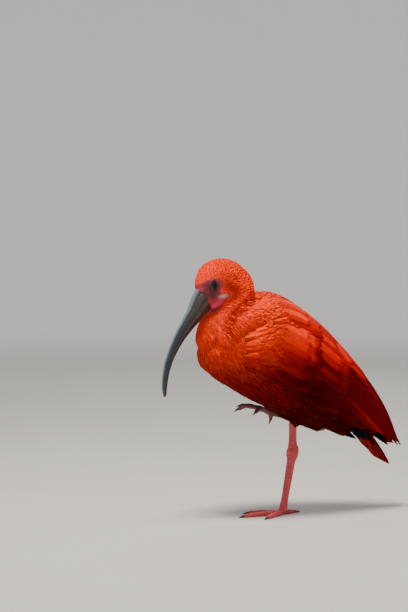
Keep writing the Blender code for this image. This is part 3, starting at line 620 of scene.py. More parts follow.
def toe_rows(side, ball, forward, up, curl):
    """Centre lines, radii and up vectors of a foot's toes, and each claw's root and direction.

    A toe's line is ball + share * length * direction + lift * up, smoothed through five points, and
    its radius is radius (1 - 0.3 s) (1 + 0.1 cos(2 pi joints s)).
    """
    across = np.cross(forward, up) * -side
    shares = np.linspace(0, 1, 5)
    s = np.linspace(0, 1, 44)
    toes, claws = [], []
    for toe_name, spread, share in TOES:
        hind = toe_name == "hind"
        a = math.radians(spread * (1 if curl == 0 else TUCKED_SPREAD))
        direction = forward * math.cos(a) + across * math.sin(a)
        length = MIDDLE_TOE * share
        rise = up
        if curl == 0:
            lifts = [4.8, 2.9, 2.9, 2.5, 2.1]
        elif hind:
            direction, rise = unit(-0.6 * forward - 0.8 * up), -forward
            length *= TUCKED_HIND
            lifts = [0, 0.8, 1.0, 0.2, -1.6]
        else:
            length *= TUCKED_TOE
            lifts = [0.0, 0.8, 0.8, -0.6 * curl, (-3.5 - 0.14 * abs(spread)) * curl]
        line = ball + np.outer(shares * length, direction) + np.outer(lifts, rise)
        path = smooth_curve(line, np.linspace(0, 4, 44))
        joints = 2 if hind else 3
        sizes = (HIND_RADIUS if hind else TOE_RADIUS) * (1 - 0.3 * s)
        sizes = sizes * (1 + 0.1 * np.cos(s * 2 * math.pi * joints))
        sizes *= 1 - 0.45 * smoothstep(0.93, 1.0, s)
        toes.append((toe_name, path, sizes, rise))
        slope = direction
        if curl:
            slope = direction * length / 4 + rise * (lifts[-1] - lifts[-2])
        slope = unit(slope)
        claws.append((toe_name, path[-1], slope, unit(np.cross(np.cross(slope, rise), slope))))
    return toes, claws


right_forward = unit(np.array(TUCKED_WAY))
right_up = np.cross(right_forward, [1.0, 0, 0])
left_toes, left_claws = toe_rows(1, np.zeros(3), np.array([0, -1.0, 0]), np.array([0, 0, 1.0]), 0.0)
right_toes, right_claws = toe_rows(-1, TUCKED_BALL, right_forward, right_up, 1.0)
print("toes on each foot:", len(left_toes))

# %% [markdown]
# Bone, ankle knob and toes are joined by a fine remesh. Scales could be bump in a material, but the
# leg's outline would stay smooth, so every point is pushed by a pattern that is told by how far along
# its bone it lies and on which side.

# %% The bare legs
LEG_VOXEL, LEG_PASSES = 0.62, 3
SHIN_SCALE, SHANK_SCALE, TOE_SCALE = 6.0, 5.0, 2.7
SCALE_PUSH, SCALE_FACE = 0.34, 0.86


def leg_forms(knee, ankle, ball, toes, swell):
    """Overlapping tubes: from the knee to the ankle, from the ankle to the ball, and each toe."""
    length = np.linalg.norm(ball - ankle)
    shin = np.linspace(-6, np.linalg.norm(ankle - knee), 20)
    radius = np.interp(shin, [-6, 8, 18, 30], [5.4, 5.2, 5.4, 6.6]) * swell
    path = knee + np.outer(shin, unit(ankle - knee))
    forms = [closed_rings(tube_grid(path, radius, radius, 26, (0, 1, 0.1)))]
    run = np.array([-10.4, -8.8, -4.5, 0.5, 5.5, 10, 18, 38, 58, 68, length - 4, length - 0.8])
    radii = np.array([4.2, 6.6, 8.2, 8.7, 8.3, 6.6, 5.9, 5.5, 5.0, 5.1, 6.0, 5.4]) * swell
    rows = smooth_curve(np.column_stack([run, radii]), np.linspace(0, len(run) - 1, 60))
    path = ankle + np.outer(rows[:, 0], unit(ball - ankle))
    forms.append(closed_rings(tube_grid(path, rows[:, 1] * 0.92, rows[:, 1] * 1.06, 28, (1, 0, 0.05))))
    for _, path, sizes, rise in toes:
        forms.append(closed_rings(tube_grid(path, sizes, sizes, 22, rise)))
    return forms


def nearest_bone(points, knee, ankle, ball, toes):
    """Each point's run along its nearest bone, how squarely it faces ahead, and a scale's length."""
    down = unit(ball - ankle)
    length = np.linalg.norm(ball - ankle)
    front = unit(np.cross(down, [1.0, 0, 0]))
    front = front if (front @ np.array([0, -1.0, 0.3])) > 0 else -front
    nearest = np.full(len(points), 1e9)
    along, facing, pitch = (np.zeros(len(points)) for _ in range(3))
    for start, way, scale in ((knee, unit(ankle - knee), SHIN_SCALE), (ankle, down, SHANK_SCALE)):
        s = (points - start) @ way
        off = points - start - s[:, None] * way
        distance = np.linalg.norm(off, axis=1) + np.maximum(-s - 9, 0) * 3
        distance += np.maximum(s - length, 0) * 4
        closer = distance < nearest
        nearest = np.where(closer, distance, nearest)
        along = np.where(closer, s, along)
        facing = np.where(closer, unit(off) @ front, facing)
        pitch = np.where(closer, scale, pitch)
    for _, path, _, rise in toes:
        gaps = np.linalg.norm(points[:, None] - path[None, ::2], axis=2)
        index = gaps.argmin(axis=1) * 2
        distance = gaps.min(axis=1)
        closer = (distance < nearest) & (np.linalg.norm(points - ball, axis=1) > 6)
        nearest = np.where(closer, distance, nearest)
        off = points - path[index]
        tangent = unit(np.gradient(path, axis=0))[index]
        along = np.where(closer, run_along(path)[index] + (off * tangent).sum(1), along)
        facing = np.where(closer, unit(off) @ rise, facing)
        pitch = np.where(closer, TOE_SCALE, pitch)
    return along, facing, pitch


def read_vectors(source, key, count):
    """An array of vectors read from a mesh's points, normals or stored values."""
    values = np.empty(count * 3, np.float32)
    source.foreach_get(key, values)
    return values.reshape(-1, 3).astype(float)


def mesh_points(mesh):
    """Points in millimetres in the rows' frame, and unit normals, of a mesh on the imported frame."""
    count = len(mesh.vertices)
    points = read_vectors(mesh.vertices, "co", count) / MM - SHIFT
    return points, read_vectors(mesh.vertex_normals, "vector", count)


def leg_skin(name, knee, ankle, ball, toes, floor, swell=1.0):
    """Bare leg and foot, fused, then pushed along its normals by shield * 0.34 (scute - 0.6).

    Over one scale, scute arches as sqrt(1 - ((saw - 0.43) / 0.43)^2), where saw is the share of the
    way over it, and it is 0 in the seam. Shield is 1 in front and 0 behind.
    """
    forms = leg_forms(knee, ankle, ball, toes, swell)
    piece = fused(mesh_object(name, *joined(forms)), LEG_VOXEL, LEG_PASSES)
    mesh = piece.data
    points, normals = mesh_points(mesh)
    along, facing, pitch = nearest_bone(points, knee, ankle, ball, toes)
    saw = along / pitch - np.floor(along / pitch)
    half = SCALE_FACE / 2
    scute = np.where(saw < SCALE_FACE, np.sqrt(np.clip(1 - ((saw - half) / half) ** 2, 0, 1)), 0)
    shield = smoothstep(0.0, 0.45, facing)
    push = shield * SCALE_PUSH * (scute - 0.6)
    points = points + normals * push[:, None]
    if floor:
        points[:, 2] = np.maximum(points[:, 2], 0.0)
    move_points(mesh, points)
    put_values(mesh, "scute", shield * scute)
    put_values(mesh, "shield", shield)
    mesh.update()
    print(name, "faces:", len(mesh.polygons))
    return piece


leg_left = leg_skin("leg_left", STANDING_KNEE, ANKLE, STANDING_BALL, left_toes, True)
leg_right = leg_skin("leg_right", TUCKED_KNEE, TUCKED_ANKLE, TUCKED_BALL, right_toes, False, 0.76)

# %% [markdown]
# A claw is a horn cone that curves down. It is made apart from the toe, because horn and skin meet in
# a sharp line, and its root is sunk into the toe so that no gap shows.

# %% Claws
CLAW_ROOT = 0.22
CLAW_DROP = 0.21


def claw_piece(name, claws, floor, length=10.8):
    """Curved claws: radius (1.1 + length / 11) (1 - 0.88 share^1.3), dropping with share^2."""
    forms = []
    share = np.linspace(0, 1, 16)
    for _, root, slope, rise in claws:
        path = root + np.outer(length * (share - CLAW_ROOT), slope)
        path -= np.outer(CLAW_DROP * length * share**2, rise)
        sizes = (1.1 + length / 11) * (1 - 0.88 * share**1.3)
        grid = tube_grid(path, sizes * 0.78, sizes, 16, rise)
        if floor:
            grid[..., 2] = np.maximum(grid[..., 2], 0.05)
        forms.append(closed_rings(grid))
    return mesh_object(name, *joined(forms))


claws_left = claw_piece("claws_left", left_claws, True)
claws_right = claw_piece("claws_right", right_claws, False, 8.5)
for side_name, leg, claws in (("left", leg_left, claws_left), ("right", leg_right, claws_right)):
    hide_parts(f"shank_{side_name}", f"tarsus_{side_name}",
                *[f"toe_{side_name}_{toe[0]}" for toe in TOES])
    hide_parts(*[f"claw_{side_name}_{toe[0]}" for toe in TOES])
print("claw faces:", len(claws_left.data.polygons), "and", len(claws_right.data.polygons))

# %% [markdown]
# ## The face's folds
# The skin has forms too fine for its sections: a brow, the socket under it, the corner of the bill,
# the cheek, and the crease where the drawn-in neck meets the shoulder. They could be sculpted, but a
# line with a depth and a reach is easy to move, so each fold is a valley or ridge along a line.

# %% Folds of face and neck
BILL_ROOT = turned(np.array([0.0, -130.0, 301.0]))
HEAD_PLANE = (np.array([0, -74.0, 300.0]), unit(np.array([0, -0.666, 0.747])))


def line_distance(points, line):
    """Distance of each point from a broken line through the given corners."""
    line = np.asarray(line, float)
    best = np.full(len(points), 1e9)
    for start, end in zip(line[:-1], line[1:]):
        axis = end - start
        s = np.clip((points - start) @ axis / (axis @ axis), 0, 1)
        best = np.minimum(best, np.linalg.norm(points - start - s[:, None] * axis, axis=1))
    return best


def near_line(points, line, reach):
    """1 on a broken line and fading away from it: exp(-(distance / reach)^2)."""
    return np.exp(-(line_distance(points, line) / reach) ** 2)


NECK_CREASE = ((-60, 297), (-79, 285), (-91, 275), (-98, 264), (-103, 253))
BROW = ((14, -138, 322), (17, -129, 325.5), (20, -118, 327.5), (22.5, -104, 325.5), (24, -90, 320))
SOCKET = ((15, -131, 314), (18, -121.5, 310), (20, -110, 313))
GAPE = ((12, -123, 294), (17, -113, 297), (20.5, -106, 303.5), (22.5, -96, 302.5))
CHEEK = ((13, -118, 286), (18, -108, 291), (21, -98, 296))
EAR = ((20, -110, 316), (23, -101, 311), (25, -92, 306))
# A fold is its line on the left of the head, how far it pushes out, and its reach
FACE_FOLDS = ((BROW, 0.9, 4.2), (SOCKET, -1.5, 6.0), (GAPE, -0.9, 1.9), (CHEEK, 0.9, 5.0))
CREASE_DEPTH, CREASE_REACH = -3.8, 4.6


def relief(points):
    """Folds of the skin: the sum of depth exp(-(distance / reach)^2) over lines on both sides."""
    push = CREASE_DEPTH * near_line(points[:, 1:], NECK_CREASE, CREASE_REACH)
    local = turned(points, -HEAD_TURN)
    for side in (-1, 1):
        for line, depth, reach in FACE_FOLDS:
            push += depth * near_line(local, mirrored(line, side), reach)
    return push


skin_points, skin_normals = mesh_points(skin.data)
folds = relief(skin_points)
move_points(skin.data, skin_points + skin_normals * folds[:, None])
skin.data.update()
skin_points, skin_normals = mesh_points(skin.data)
print("folds, mm:", folds.min().round(1), "to", folds.max().round(1))

# %% [markdown]
# ## The bare face
# Lores, cheek and chin are bare skin in pinks and mauves with a pale streak, and under the cheek lies a
# painted shadow. They could be painted on an image, but ellipses placed in the side view give the same
# patches at any size. Each is stored as a number per point, and the skin's material mixes its colours
# by them.

# %% Bareness and the face's tints
def blob(points, centre, radii, tilt=0.0):
    """1 at the middle of a tilted ellipse in the side view, 0 at its rim, negative outside."""
    c, s = math.cos(math.radians(tilt)), math.sin(math.radians(tilt))
    y, z = points[:, 1] - centre[0], points[:, 2] - centre[1]
    return 1 - np.sqrt(((y * c + z * s) / radii[0]) ** 2 + ((z * c - y * s) / radii[1]) ** 2)


def head_side(points):
    """How far points are on the head's side of the neck, in millimetres."""
    return (points - HEAD_PLANE[0]) @ HEAD_PLANE[1]


# A patch is its middle's y and z, its two radii, and its tilt in degrees
BARE_PATCHES = (((-123, 310.5), (18.5, 11), 26), ((-113, 287), (16.5, 9), 33),
                ((-128, 301), (13, 12), 0), ((-122, 284), (10, 7), 20),
                ((-105.5, 298), (11.5, 5.2), 12), ((-117, 299), (9, 9), 0))


def bareness(points):
    """1 on the bare face: lores, round the eye, cheek and chin, on both sides alike."""
    local = turned(points, -HEAD_TURN)
    face = np.full(len(local), -1.0)
    for patch in BARE_PATCHES:
        face = np.maximum(face, blob(local, *patch))
    return smoothstep(-0.1, 0.12, face) * (head_side(points) > -14)


def face_tints(points):
    """Shares of the face's colours: pink lores and cheek, mauve hollow, a painted shadow under the cheek,
    pale streak.
    """
    local = turned(points, -HEAD_TURN)
    lores = smoothstep(0.0, 0.7, blob(local, (-141, 307), (11.5, 7), 12))
    cheek = smoothstep(0.0, 0.6, blob(local, (-112, 288.6), (14.5, 5.8), 35))
    mauve_and_painted_shadow = smoothstep(-0.1, 0.4, blob(local, (-121.5, 308), (15, 14), -10)) * (1 - lores)
    # Painted shadow: a dark mauve band low on the chin, below the cheek.
    mauve_and_painted_shadow = np.maximum(mauve_and_painted_shadow, 0.8 * smoothstep(0, 0.6, blob(local, (-111, 279), (15, 6), 22)))
    pale = 0.85 * smoothstep(0.0, 0.95, blob(local, (-105, 299.4), (11, 4.6), 9))
    return {"pink": np.clip(lores + cheek, 0, 1), "mauve_and_painted_shadow": mauve_and_painted_shadow * (1 - cheek), "pale": pale}


bare = bareness(skin_points)
put_values(skin.data, "bare", bare)
for label, values in face_tints(skin_points).items():
    put_values(skin.data, label, values)
print("bare face points:", int((bare > 0.5).sum()))

# %% [markdown]
# ## How feathers lie, their red, and its painted light and shade
# Feathers lie away from the bill: over the crown to the nape, down the throat to the breast, and
# along the body to the tail. Their red is more orange on head and breast, and a painted light makes it
# more orange higher up; a painted shade darkens it on the belly, the low wing, ear and brow and in the
# fold of the neck. Skin and coat both need these numbers, so each is a function of the place alone.

# %% Lie, warmth and painted light
def lie_direction(points, normals):
    """Away from the bill on head and neck, along the body's slope behind, laid flat on the skin."""
    away = points - BILL_ROOT
    far = np.linalg.norm(away, axis=1)
    blend = smoothstep(60, 150, far)[:, None]
    way = unit(away) * (1 - blend) + unit(np.array([0, 0.84, -0.54])) * blend
    for rows in (STANDING_THIGH, TUCKED_THIGH):
        line = np.array(rows, float)
        start, end = line[0, :3], line[-1, :3]
        axis = unit(end - start)
        s = np.clip((points - start) @ axis, 0, np.linalg.norm(end - start))
        off = np.linalg.norm(points - start - s[:, None] * axis, axis=1)
        near = smoothstep(26, 14, off) * smoothstep(150, 132, points[:, 2])
        way = way * (1 - near[:, None]) + axis * near[:, None]
    way = way - (way * normals).sum(1, keepdims=True) * normals
    return unit(way)


def warmth_and_painted_light(points):
    """How orange the red is: the plumage's own orange on head, neck and breast, and painted light that makes
    it more orange higher up; least low on belly and wings.
    """
    far = np.linalg.norm(points - BILL_ROOT, axis=1)
    front = smoothstep(230, 70, far)
    # Painted light: the red turns more orange higher up, where the light falls.
    high = smoothstep(120, 290, points[:, 2])
    side = smoothstep(36, 58, np.abs(points[:, 0]))
    return np.clip(-0.12 + 0.66 * front + 0.56 * high - 0.25 * side * (1 - front), -0.4, 1)


# The warmth stored on the skin holds painted light as well as the plumage's own orange.
put_values(skin.data, "warm", warmth_and_painted_light(skin_points))
put_values(skin.data, "up", skin_normals)
put_values(skin.data, "lie", lie_direction(skin_points, skin_normals))
print("warmth runs from", warmth_and_painted_light(skin_points).min().round(2), "to", warmth_and_painted_light(skin_points).max().round(2))


# %% Painted shade on the red
def round_body(points, rows=WING_ROWS):
    """Each point's place along the body's rows, and its angle in degrees down from the back."""
    shape = points.shape[:-1]
    points = points.reshape(-1, 3)
    place = np.linspace(0, len(rows) - 1, 61)
    row = smooth_curve(rows, place)
    centre, half = (row[:, :2] + row[:, 2:4]) / 2, (row[:, :2] - row[:, 2:4]) / 2
    size = (half**2).sum(1)
    normal = np.stack([half[:, 1], -half[:, 0]], 1) / np.sqrt(size)[:, None]
    off = points[:, 1:] @ normal.T - (centre * normal).sum(1)
    best = np.abs(off).argmin(axis=1)
    up = ((points[:, 1:] - centre[best]) * half[best]).sum(1) / size[best]
    angle = np.degrees(np.arctan2(np.abs(points[:, 0]) / row[best, 4], up))
    return place[best].reshape(shape), angle.reshape(shape)


def depth(points):
    """Painted shade: how far the red is darkened, up to 1 on belly, low wing, ear and in the fold of the
    neck, where shade falls, and less on the brow and a patch of the breast.
    """
    place, angle = round_body(points)
    # Painted shade: belly and low wing are darkened where they face down, away from the light.
    low = smoothstep(56, 112, angle) * smoothstep(250, 185, points[..., 2])
    low = low * (1 - 0.8 * smoothstep(4.0, 7.5, place) * smoothstep(125, 98, angle))
    flat = points.reshape(-1, 3)
    local = turned(flat, -HEAD_TURN)
    # Painted shade: the neck's crease is darkened, and a patch on the front of the breast a little.
    breast = np.hypot(flat[:, 1] + 108, flat[:, 2] - 218)
    fold = np.maximum(near_line(flat[:, 1:], NECK_CREASE, 4.4), 0.4 * np.exp(-(breast / 24) ** 2))
    # Painted shade: ear and brow are darkened too.
    ear = np.zeros(len(flat))
    for side in (-1, 1):
        for line, share, reach in ((EAR, 1.0, 7.0), (BROW, 0.7, 4.0)):
            ear = np.maximum(ear, share * near_line(local, mirrored(line, side), reach))
    spots = np.maximum(fold, 0.85 * ear).reshape(points.shape[:-1])
    return np.maximum(low, spots)


# The painted shade is stored on the skin, as on every feather.
put_values(skin.data, "deep", depth(skin_points))
skin.data.calc_loop_triangles()
corners = np.empty(len(skin.data.loop_triangles) * 3, np.int32)
skin.data.loop_triangles.foreach_get("vertices", corners)
skin_tree = BVHTree.FromPolygons(skin_points.tolist(), corners.reshape(-1, 3).tolist())
print("triangles in the skin's search tree:", len(corners) // 3)

# %% [markdown]
# ## Feathers as closed vanes
# Each feather is a thin closed blade: rings across its shaft, wide in the middle and narrow at the
# root and tip. Hair strands would be thinner but can't be kept as a mesh, and flat cards show their
# edges, so every vane is solid. One helper makes thousands at once as whole arrays. Every feather
# also gets a tiny patch at its root's place on an unwrap of the body, which keeps its colour when
# colours are baked.

# %% Feather maker
FLAT_RING = (np.array([-1, 0, 1, 0.0]), np.array([0, 1, 0, -1.0]))
FINE_RING = (np.array([-1, -0.55, 0, 0.55, 1, 0.5, -0.5]), np.array([0, 0.6, 1.25, 0.6, 0, -0.6, -0.6]))
FLIGHT_OUTLINE = ([0, 0.1, 0.3, 0.6, 0.84, 0.94, 1], [0.34, 0.62, 0.9, 1, 0.86, 0.6, 0.14])
COVERT_OUTLINE = ([0, 0.25, 0.55, 0.8, 0.93, 1], [0.4, 0.85, 1, 0.9, 0.62, 0.14])
SOFT_OUTLINE = ([0, 0.3, 0.65, 0.9, 1], [0.5, 0.95, 1, 0.6, 0.12])
PATCH_WIDTH, PATCH_LENGTH = 0.0014, 0.003


def feathers(name, path, normal, half_width, outline, ring, thickness, values, unwrap,
             cup=0.12, tilt=0.0):
    """Closed vanes round many shafts at once.

    A point is shaft + side * width * t + normal * (thickness * h - cup * width * t^2 + tilt * t),
    where (t, h) runs round the ring. path and normal are (feathers, stations, 3).
    """
    count, stations = path.shape[:2]
    t, h = ring
    around = len(t)
    tangent = unit(np.gradient(path, axis=1))
    side = unit(np.cross(normal, tangent))
    share = np.linspace(0, 1, stations)
    width = np.asarray(half_width)[:, None] * np.interp(share, *outline)
    tilts = np.broadcast_to(np.asarray(tilt, float), (count,))[:, None] * np.minimum(share * 3, 1)
    rise = (thickness / 2 * h * (1 - 0.6 * share[:, None])
            - cup * width[..., None] * t**2 + tilts[..., None] * t)
    points = (path[:, :, None] + side[:, :, None] * (width[..., None] * t)[..., None]
              + normal[:, :, None] * rise[..., None])
    size = stations * around
    base = np.arange(count) * size
    one = ring_faces(stations, around)[:, ::-1]
    fan = np.stack([np.zeros(around - 2, int), np.arange(1, around - 1), np.arange(2, around)], 1)
    ends = np.vstack([fan, fan[:, ::-1] + (stations - 1) * around])
    quads = (one[None] + base[:, None, None]).reshape(-1, 4)
    triangles = (ends[None] + base[:, None, None]).reshape(-1, 3)
    piece = mesh_object(name, points.reshape(-1, 3), quads, triangles)
    mesh = piece.data
    length = np.linalg.norm(np.diff(path, axis=1), axis=2).sum(1)
    vane = np.stack([np.broadcast_to(width[..., None] * t / 10, points.shape[:3]),
                     np.broadcast_to(length[:, None, None] * share[:, None] / 10, points.shape[:3])], -1)
    patch = np.stack([np.broadcast_to(unwrap[:, 0, None, None] + PATCH_WIDTH * t, points.shape[:3]),
                      np.broadcast_to(unwrap[:, 1, None, None] + PATCH_LENGTH * (share[:, None] - 0.5),
                                      points.shape[:3])], -1)
    corners = np.empty(len(mesh.loops), np.int32)
    mesh.loops.foreach_get("vertex_index", corners)
    for label, uv in (("OFBake", patch), ("Vane", vane)):
        layer = mesh.uv_layers.new(name=label)
        layer.uv.foreach_set("vector", uv.reshape(-1, 2)[corners].astype(np.float32).ravel())
    along = np.broadcast_to(share[:, None], points.shape[1:3])[None]
    put_values(mesh, "tip", np.broadcast_to(along, points.shape[:3]).reshape(-1))
    for label, value in values.items():
        value = np.asarray(value, float)
        value = value[:, None] if value.ndim == 1 else value
        put_values(mesh, label, np.broadcast_to(value[..., None], points.shape[:3]).reshape(-1))
    print(name, "feathers:", count, "triangles:", count * (2 * len(one) + len(ends)))
    return piece


print("points across a vane:", len(FLAT_RING[0]), "plain,", len(FINE_RING[0]), "fine")

# %% [markdown]
# An unwrap about a line is the angle round it and the run along it. A feather needs no more than a
# place of its own on it, and each part of the coat has its own line.


# %% Unwraps of body, head, neck and legs
def turn_unwrap(points, start, end, low, high, wrap=0.97):
    """An unwrap about the line from start to end: angle round it, and run along it, both 0 to 1."""
    start, axis = np.asarray(start, float), unit(np.subtract(end, start).astype(float))
    run = (points - start) @ axis
    above = unit(np.cross([1.0, 0, 0], axis))
    off = points - start - run[..., None] * axis
    angle = np.arctan2(off[..., 0], off @ above)
    return np.stack([0.5 + angle / (2 * math.pi) * wrap, 0.02 + 0.96 * (run - low) / (high - low)], -1)


def body_unwrap(points):
    """Round the body's long axis."""
    return turn_unwrap(points, (0, -110, 262), (0, 150, 110), -90, 380, 0.98)


def head_unwrap(points):
    """Round the line from the bill's root to the back of the head."""
    return turn_unwrap(turned(points, -HEAD_TURN), (0, -130, 301), (0, -56, 305), -14, 90)


def neck_unwrap(points):
    """Round the neck's upright line."""
    return turn_unwrap(points, (0, -86, 180), (0, -72, 310), -10, 150)


def leg_unwrap(points):
    """Each thigh round its own line: the left in the upper half, the right in the lower."""
    halves = []
    for line, place in ((STANDING_THIGH, 0.5), (TUCKED_THIGH, 0.0)):
        uv = turn_unwrap(points, line[0][:3], line[-1][:3], -30, 90)
        halves.append(np.stack([uv[..., 0], place + 0.5 * uv[..., 1]], -1))
    return np.where(points[..., :1] > -6, halves[0], halves[1])


print("a feather on the back goes to", body_unwrap(np.array([[0.0, 12.8, 287.5]])).round(2))

# %% [markdown]
# ## The folded wings
# A folded wing shows its tiers like roof tiles: small coverts over the bend, larger coverts behind
# them, then the long inner flight feathers that cloak the rest, with the dark-tipped outermost
# feathers just showing below. One carved shell would lose the shadows between them, so each tier runs
# in lanes over the wing's own surface, and each lane is a path of places along the body and angles
# round it.

# %% Lanes over the wing
rng = np.random.default_rng(11)


def wing_rows(drop, lane, first, last, stations, rise, drift=0.0, bend=None):
    """Shafts and normals of one tier: each runs down its lane, held over the muscle by its rise.

    A bend gives the angles at root and tip instead: start + (end - start) share^1.6.
    """
    share = np.linspace(0, 1, stations)
    place = first[:, None] + (last - first)[:, None] * share
    angle = (33 + drop + LANE_SPREAD * lane[:, None] + (place - 3) * (0.6 + 2.2 * lane[:, None])
             + np.asarray(drift)[..., None] * share)
    if bend is not None:
        start, end = (np.asarray(value)[:, None] for value in bend)
        angle = drop + start + (end - start) * share**1.6
    core = core_height(place, np.clip((angle - WING_REACH[0] - drop) / WING_REACH[1], 0, 1))
    lift = core - WING_COAT + rise[0] + (rise[1] - rise[0]) * share
    radians = np.radians(angle)
    path = ellipse_point(WING_ROWS, place, radians, lift)
    ahead = ellipse_point(WING_ROWS, place + 0.2, radians, lift)
    before = ellipse_point(WING_ROWS, place - 0.2, radians, lift)
    over = ellipse_point(WING_ROWS, place, radians + 0.03, lift)
    under = ellipse_point(WING_ROWS, place, radians - 0.03, lift)
    normal = unit(np.cross(ahead - before, over - under))
    outward = ellipse_point(WING_ROWS, place, radians, lift + 1) - path
    normal *= np.sign((normal * outward).sum(-1, keepdims=True))
    around = np.linalg.norm(over - under, axis=-1) / 0.06
    return path, normal, around.mean(axis=1)


# %% [markdown]
# Feathers of one tier share their outline and thickness. Their width follows from the distance
# between lanes, so they always overlap, and a little chance keeps the rows from looking drawn.

# %% One tier of feathers
def wing_tier(name, side, drop, lane, first, length, rise, overlap, outline, ring, stations,
              thickness, tilt, last=None, drift=0.0, dark=None, jitter=0.02, bend=None,
              half_width=None, least=0.0, scatter=None):
    """One tier of feathers over one wing, from the places first to last, or as long as length says.

    Overlap is a feather's half width in lane steps, scatter moves roots and jitter moves lanes.
    """
    count = len(lane)
    if scatter:
        first = first + rng.normal(0, scatter, count)
    last = first + length if last is None else last
    gaps = np.abs(np.diff(lane))
    step = np.radians(LANE_SPREAD) * np.median(gaps[gaps > 1e-6]) if half_width is None else 0.0
    lane = lane + rng.normal(0, jitter * 0.35, count)
    last = last + rng.normal(0, jitter * 3.0, count)
    path, normal, around = wing_rows(drop, lane, first, last, stations, rise, drift, bend)
    half_width = np.maximum(overlap * around * step, least) if half_width is None else half_width
    path, normal = mirrored(path, side), mirrored(normal, side)
    # Each feather carries the warmth with its painted light, and the painted shade of its place.
    values = {"tone": rng.uniform(0, 1, count),
              "warm": warmth_and_painted_light(path.reshape(-1, 3)).reshape(path.shape[:2]),
              "dark": np.zeros((count, stations)) if dark is None else dark, "deep": depth(path)}
    return feathers(name, path, normal, half_width, outline, ring, thickness, values,
                    body_unwrap(path[:, 0]), cup=0.1, tilt=tilt * side)


def staggered(count, rows, low=0.0, high=1.0, shift=None):
    """Lane shares of several rows, every second row set aside by the shift, or by half a step."""
    shift = 0.5 * (high - low) / (count - 1) if shift is None else shift
    lanes = np.linspace(low, high, count)
    return np.concatenate([lanes + shift * (row % 2) for row in range(rows)])


print("lanes of two rows of three:", staggered(3, 2))

# %% [markdown]
# A wing starts with its long flight feathers, and each tier above covers the roots of the one below.
# The order matters to the chance numbers too: they are drawn one tier after another.

# %% Both wings
# The outermost feathers: five that end at the wing's point, and three that show below its edge
OUTER = np.arange(5)
OUTER_ENDS = np.concatenate([10.66 - 0.2 * OUTER, [8.3, 8.0, 7.65]])
OUTER_START_ANGLES = np.concatenate([113 - 1.0 * OUTER, [108, 110, 112]])
OUTER_END_ANGLES = np.concatenate([56 + 6.2 * OUTER, [146, 150, 153]])
OUTER_DARK = smoothstep(0.4, 0.55, np.linspace(0, 1, 14))[None] * np.ones((8, 1))


def dress_wing(side_name, side, drop):
    """All tiers of one wing, from the flight feathers up to the smallest coverts."""
    def tier(name, *sizes, **more):
        """One tier of this wing, with the wing's side, drop and name put in."""
        return wing_tier(f"{name}_{side_name}", side, drop, *sizes, **more)

    inner = np.linspace(-0.08, 1, 14)
    inner_share = np.maximum(inner, 0)
    greater = staggered(13, 2)
    return [
        tier("primaries", np.full(8, 0.8), np.full(8, 4.8), None, (0.4, 0.2), 0.62, FLIGHT_OUTLINE,
             FINE_RING, 14, 0.35, -0.5, last=OUTER_ENDS, dark=OUTER_DARK, jitter=0.0,
             bend=(OUTER_START_ANGLES, OUTER_END_ANGLES), half_width=np.full(8, 5.6)),
        tier("secondaries", inner, np.full(14, 3.9), None, (0.9, 2.6), 1.1, FLIGHT_OUTLINE,
             FINE_RING, 16, 0.28, -0.8, last=10.68 - 3.8 * inner_share**1.9, jitter=0.008,
             least=9.5 * (1 - inner_share) ** 0.7),
        tier("greater_coverts", greater, np.repeat([3.0, 2.5], 13), 2.75 - 0.3 * greater, (1.1, 2.3),
             1.05, COVERT_OUTLINE, FINE_RING, 10, 0.22, -0.3),
        tier("median_coverts", staggered(14, 3), np.repeat([2.05, 1.7, 1.35], 14), 1.75, (1.0, 2.1),
             1.05, COVERT_OUTLINE, FINE_RING, 8, 0.18, -0.2),
        tier("lesser_coverts", staggered(23, 14, -0.02, 1.02), np.repeat(np.linspace(1.3, -0.15, 14), 23),
             0.85, (0.2, 1.3), 0.9, SOFT_OUTLINE, FLAT_RING, 6, 0.12, -0.1, jitter=0.05, scatter=0.09),
        tier("scapulars", staggered(7, 5, -0.12, 0.26, 0.03), np.repeat([3.7, 3.1, 2.5, 1.9, 1.4], 7),
             np.repeat([3.2, 2.8, 2.4, 2.0, 1.7], 7), (1.5, 2.7), 1.1, COVERT_OUTLINE, FINE_RING,
             12, 0.2, -0.2, drift=-5.0),
        tier("mantle_edge", staggered(15, 10, -0.16, 0.34, 0.016), np.repeat(np.linspace(1.5, -0.1, 10), 15),
             0.95, (0.7, 2.0), 1.0, SOFT_OUTLINE, FLAT_RING, 6, 0.12, -0.1, drift=-2.0, jitter=0.04,
             scatter=0.09),
    ]


wings_left = dress_wing("left", 1, 0.0)
wings_right = dress_wing("right", -1, RIGHT_WING_DROP)

# %% [markdown]
# ## The tail
# Twelve short square-ended feathers close over each other like a fan, the middle pair on top, and
# small coverts hide their roots above and below. They are flat and straight, so they need no lanes:
# each runs from a point at the tail's root to a point at its end.

# %% Tail
TAIL_LENGTH = 100.0
TAIL_OUTLINE = ([0, 0.1, 0.35, 0.75, 0.92, 1], [0.4, 0.6, 0.85, 1, 0.72, 0.16])
# The tail's warmth is even, and so is the painted shade that darkens it.
TAIL_WARMTH, TAIL_PAINTED_SHADE = 0.25, 0.45


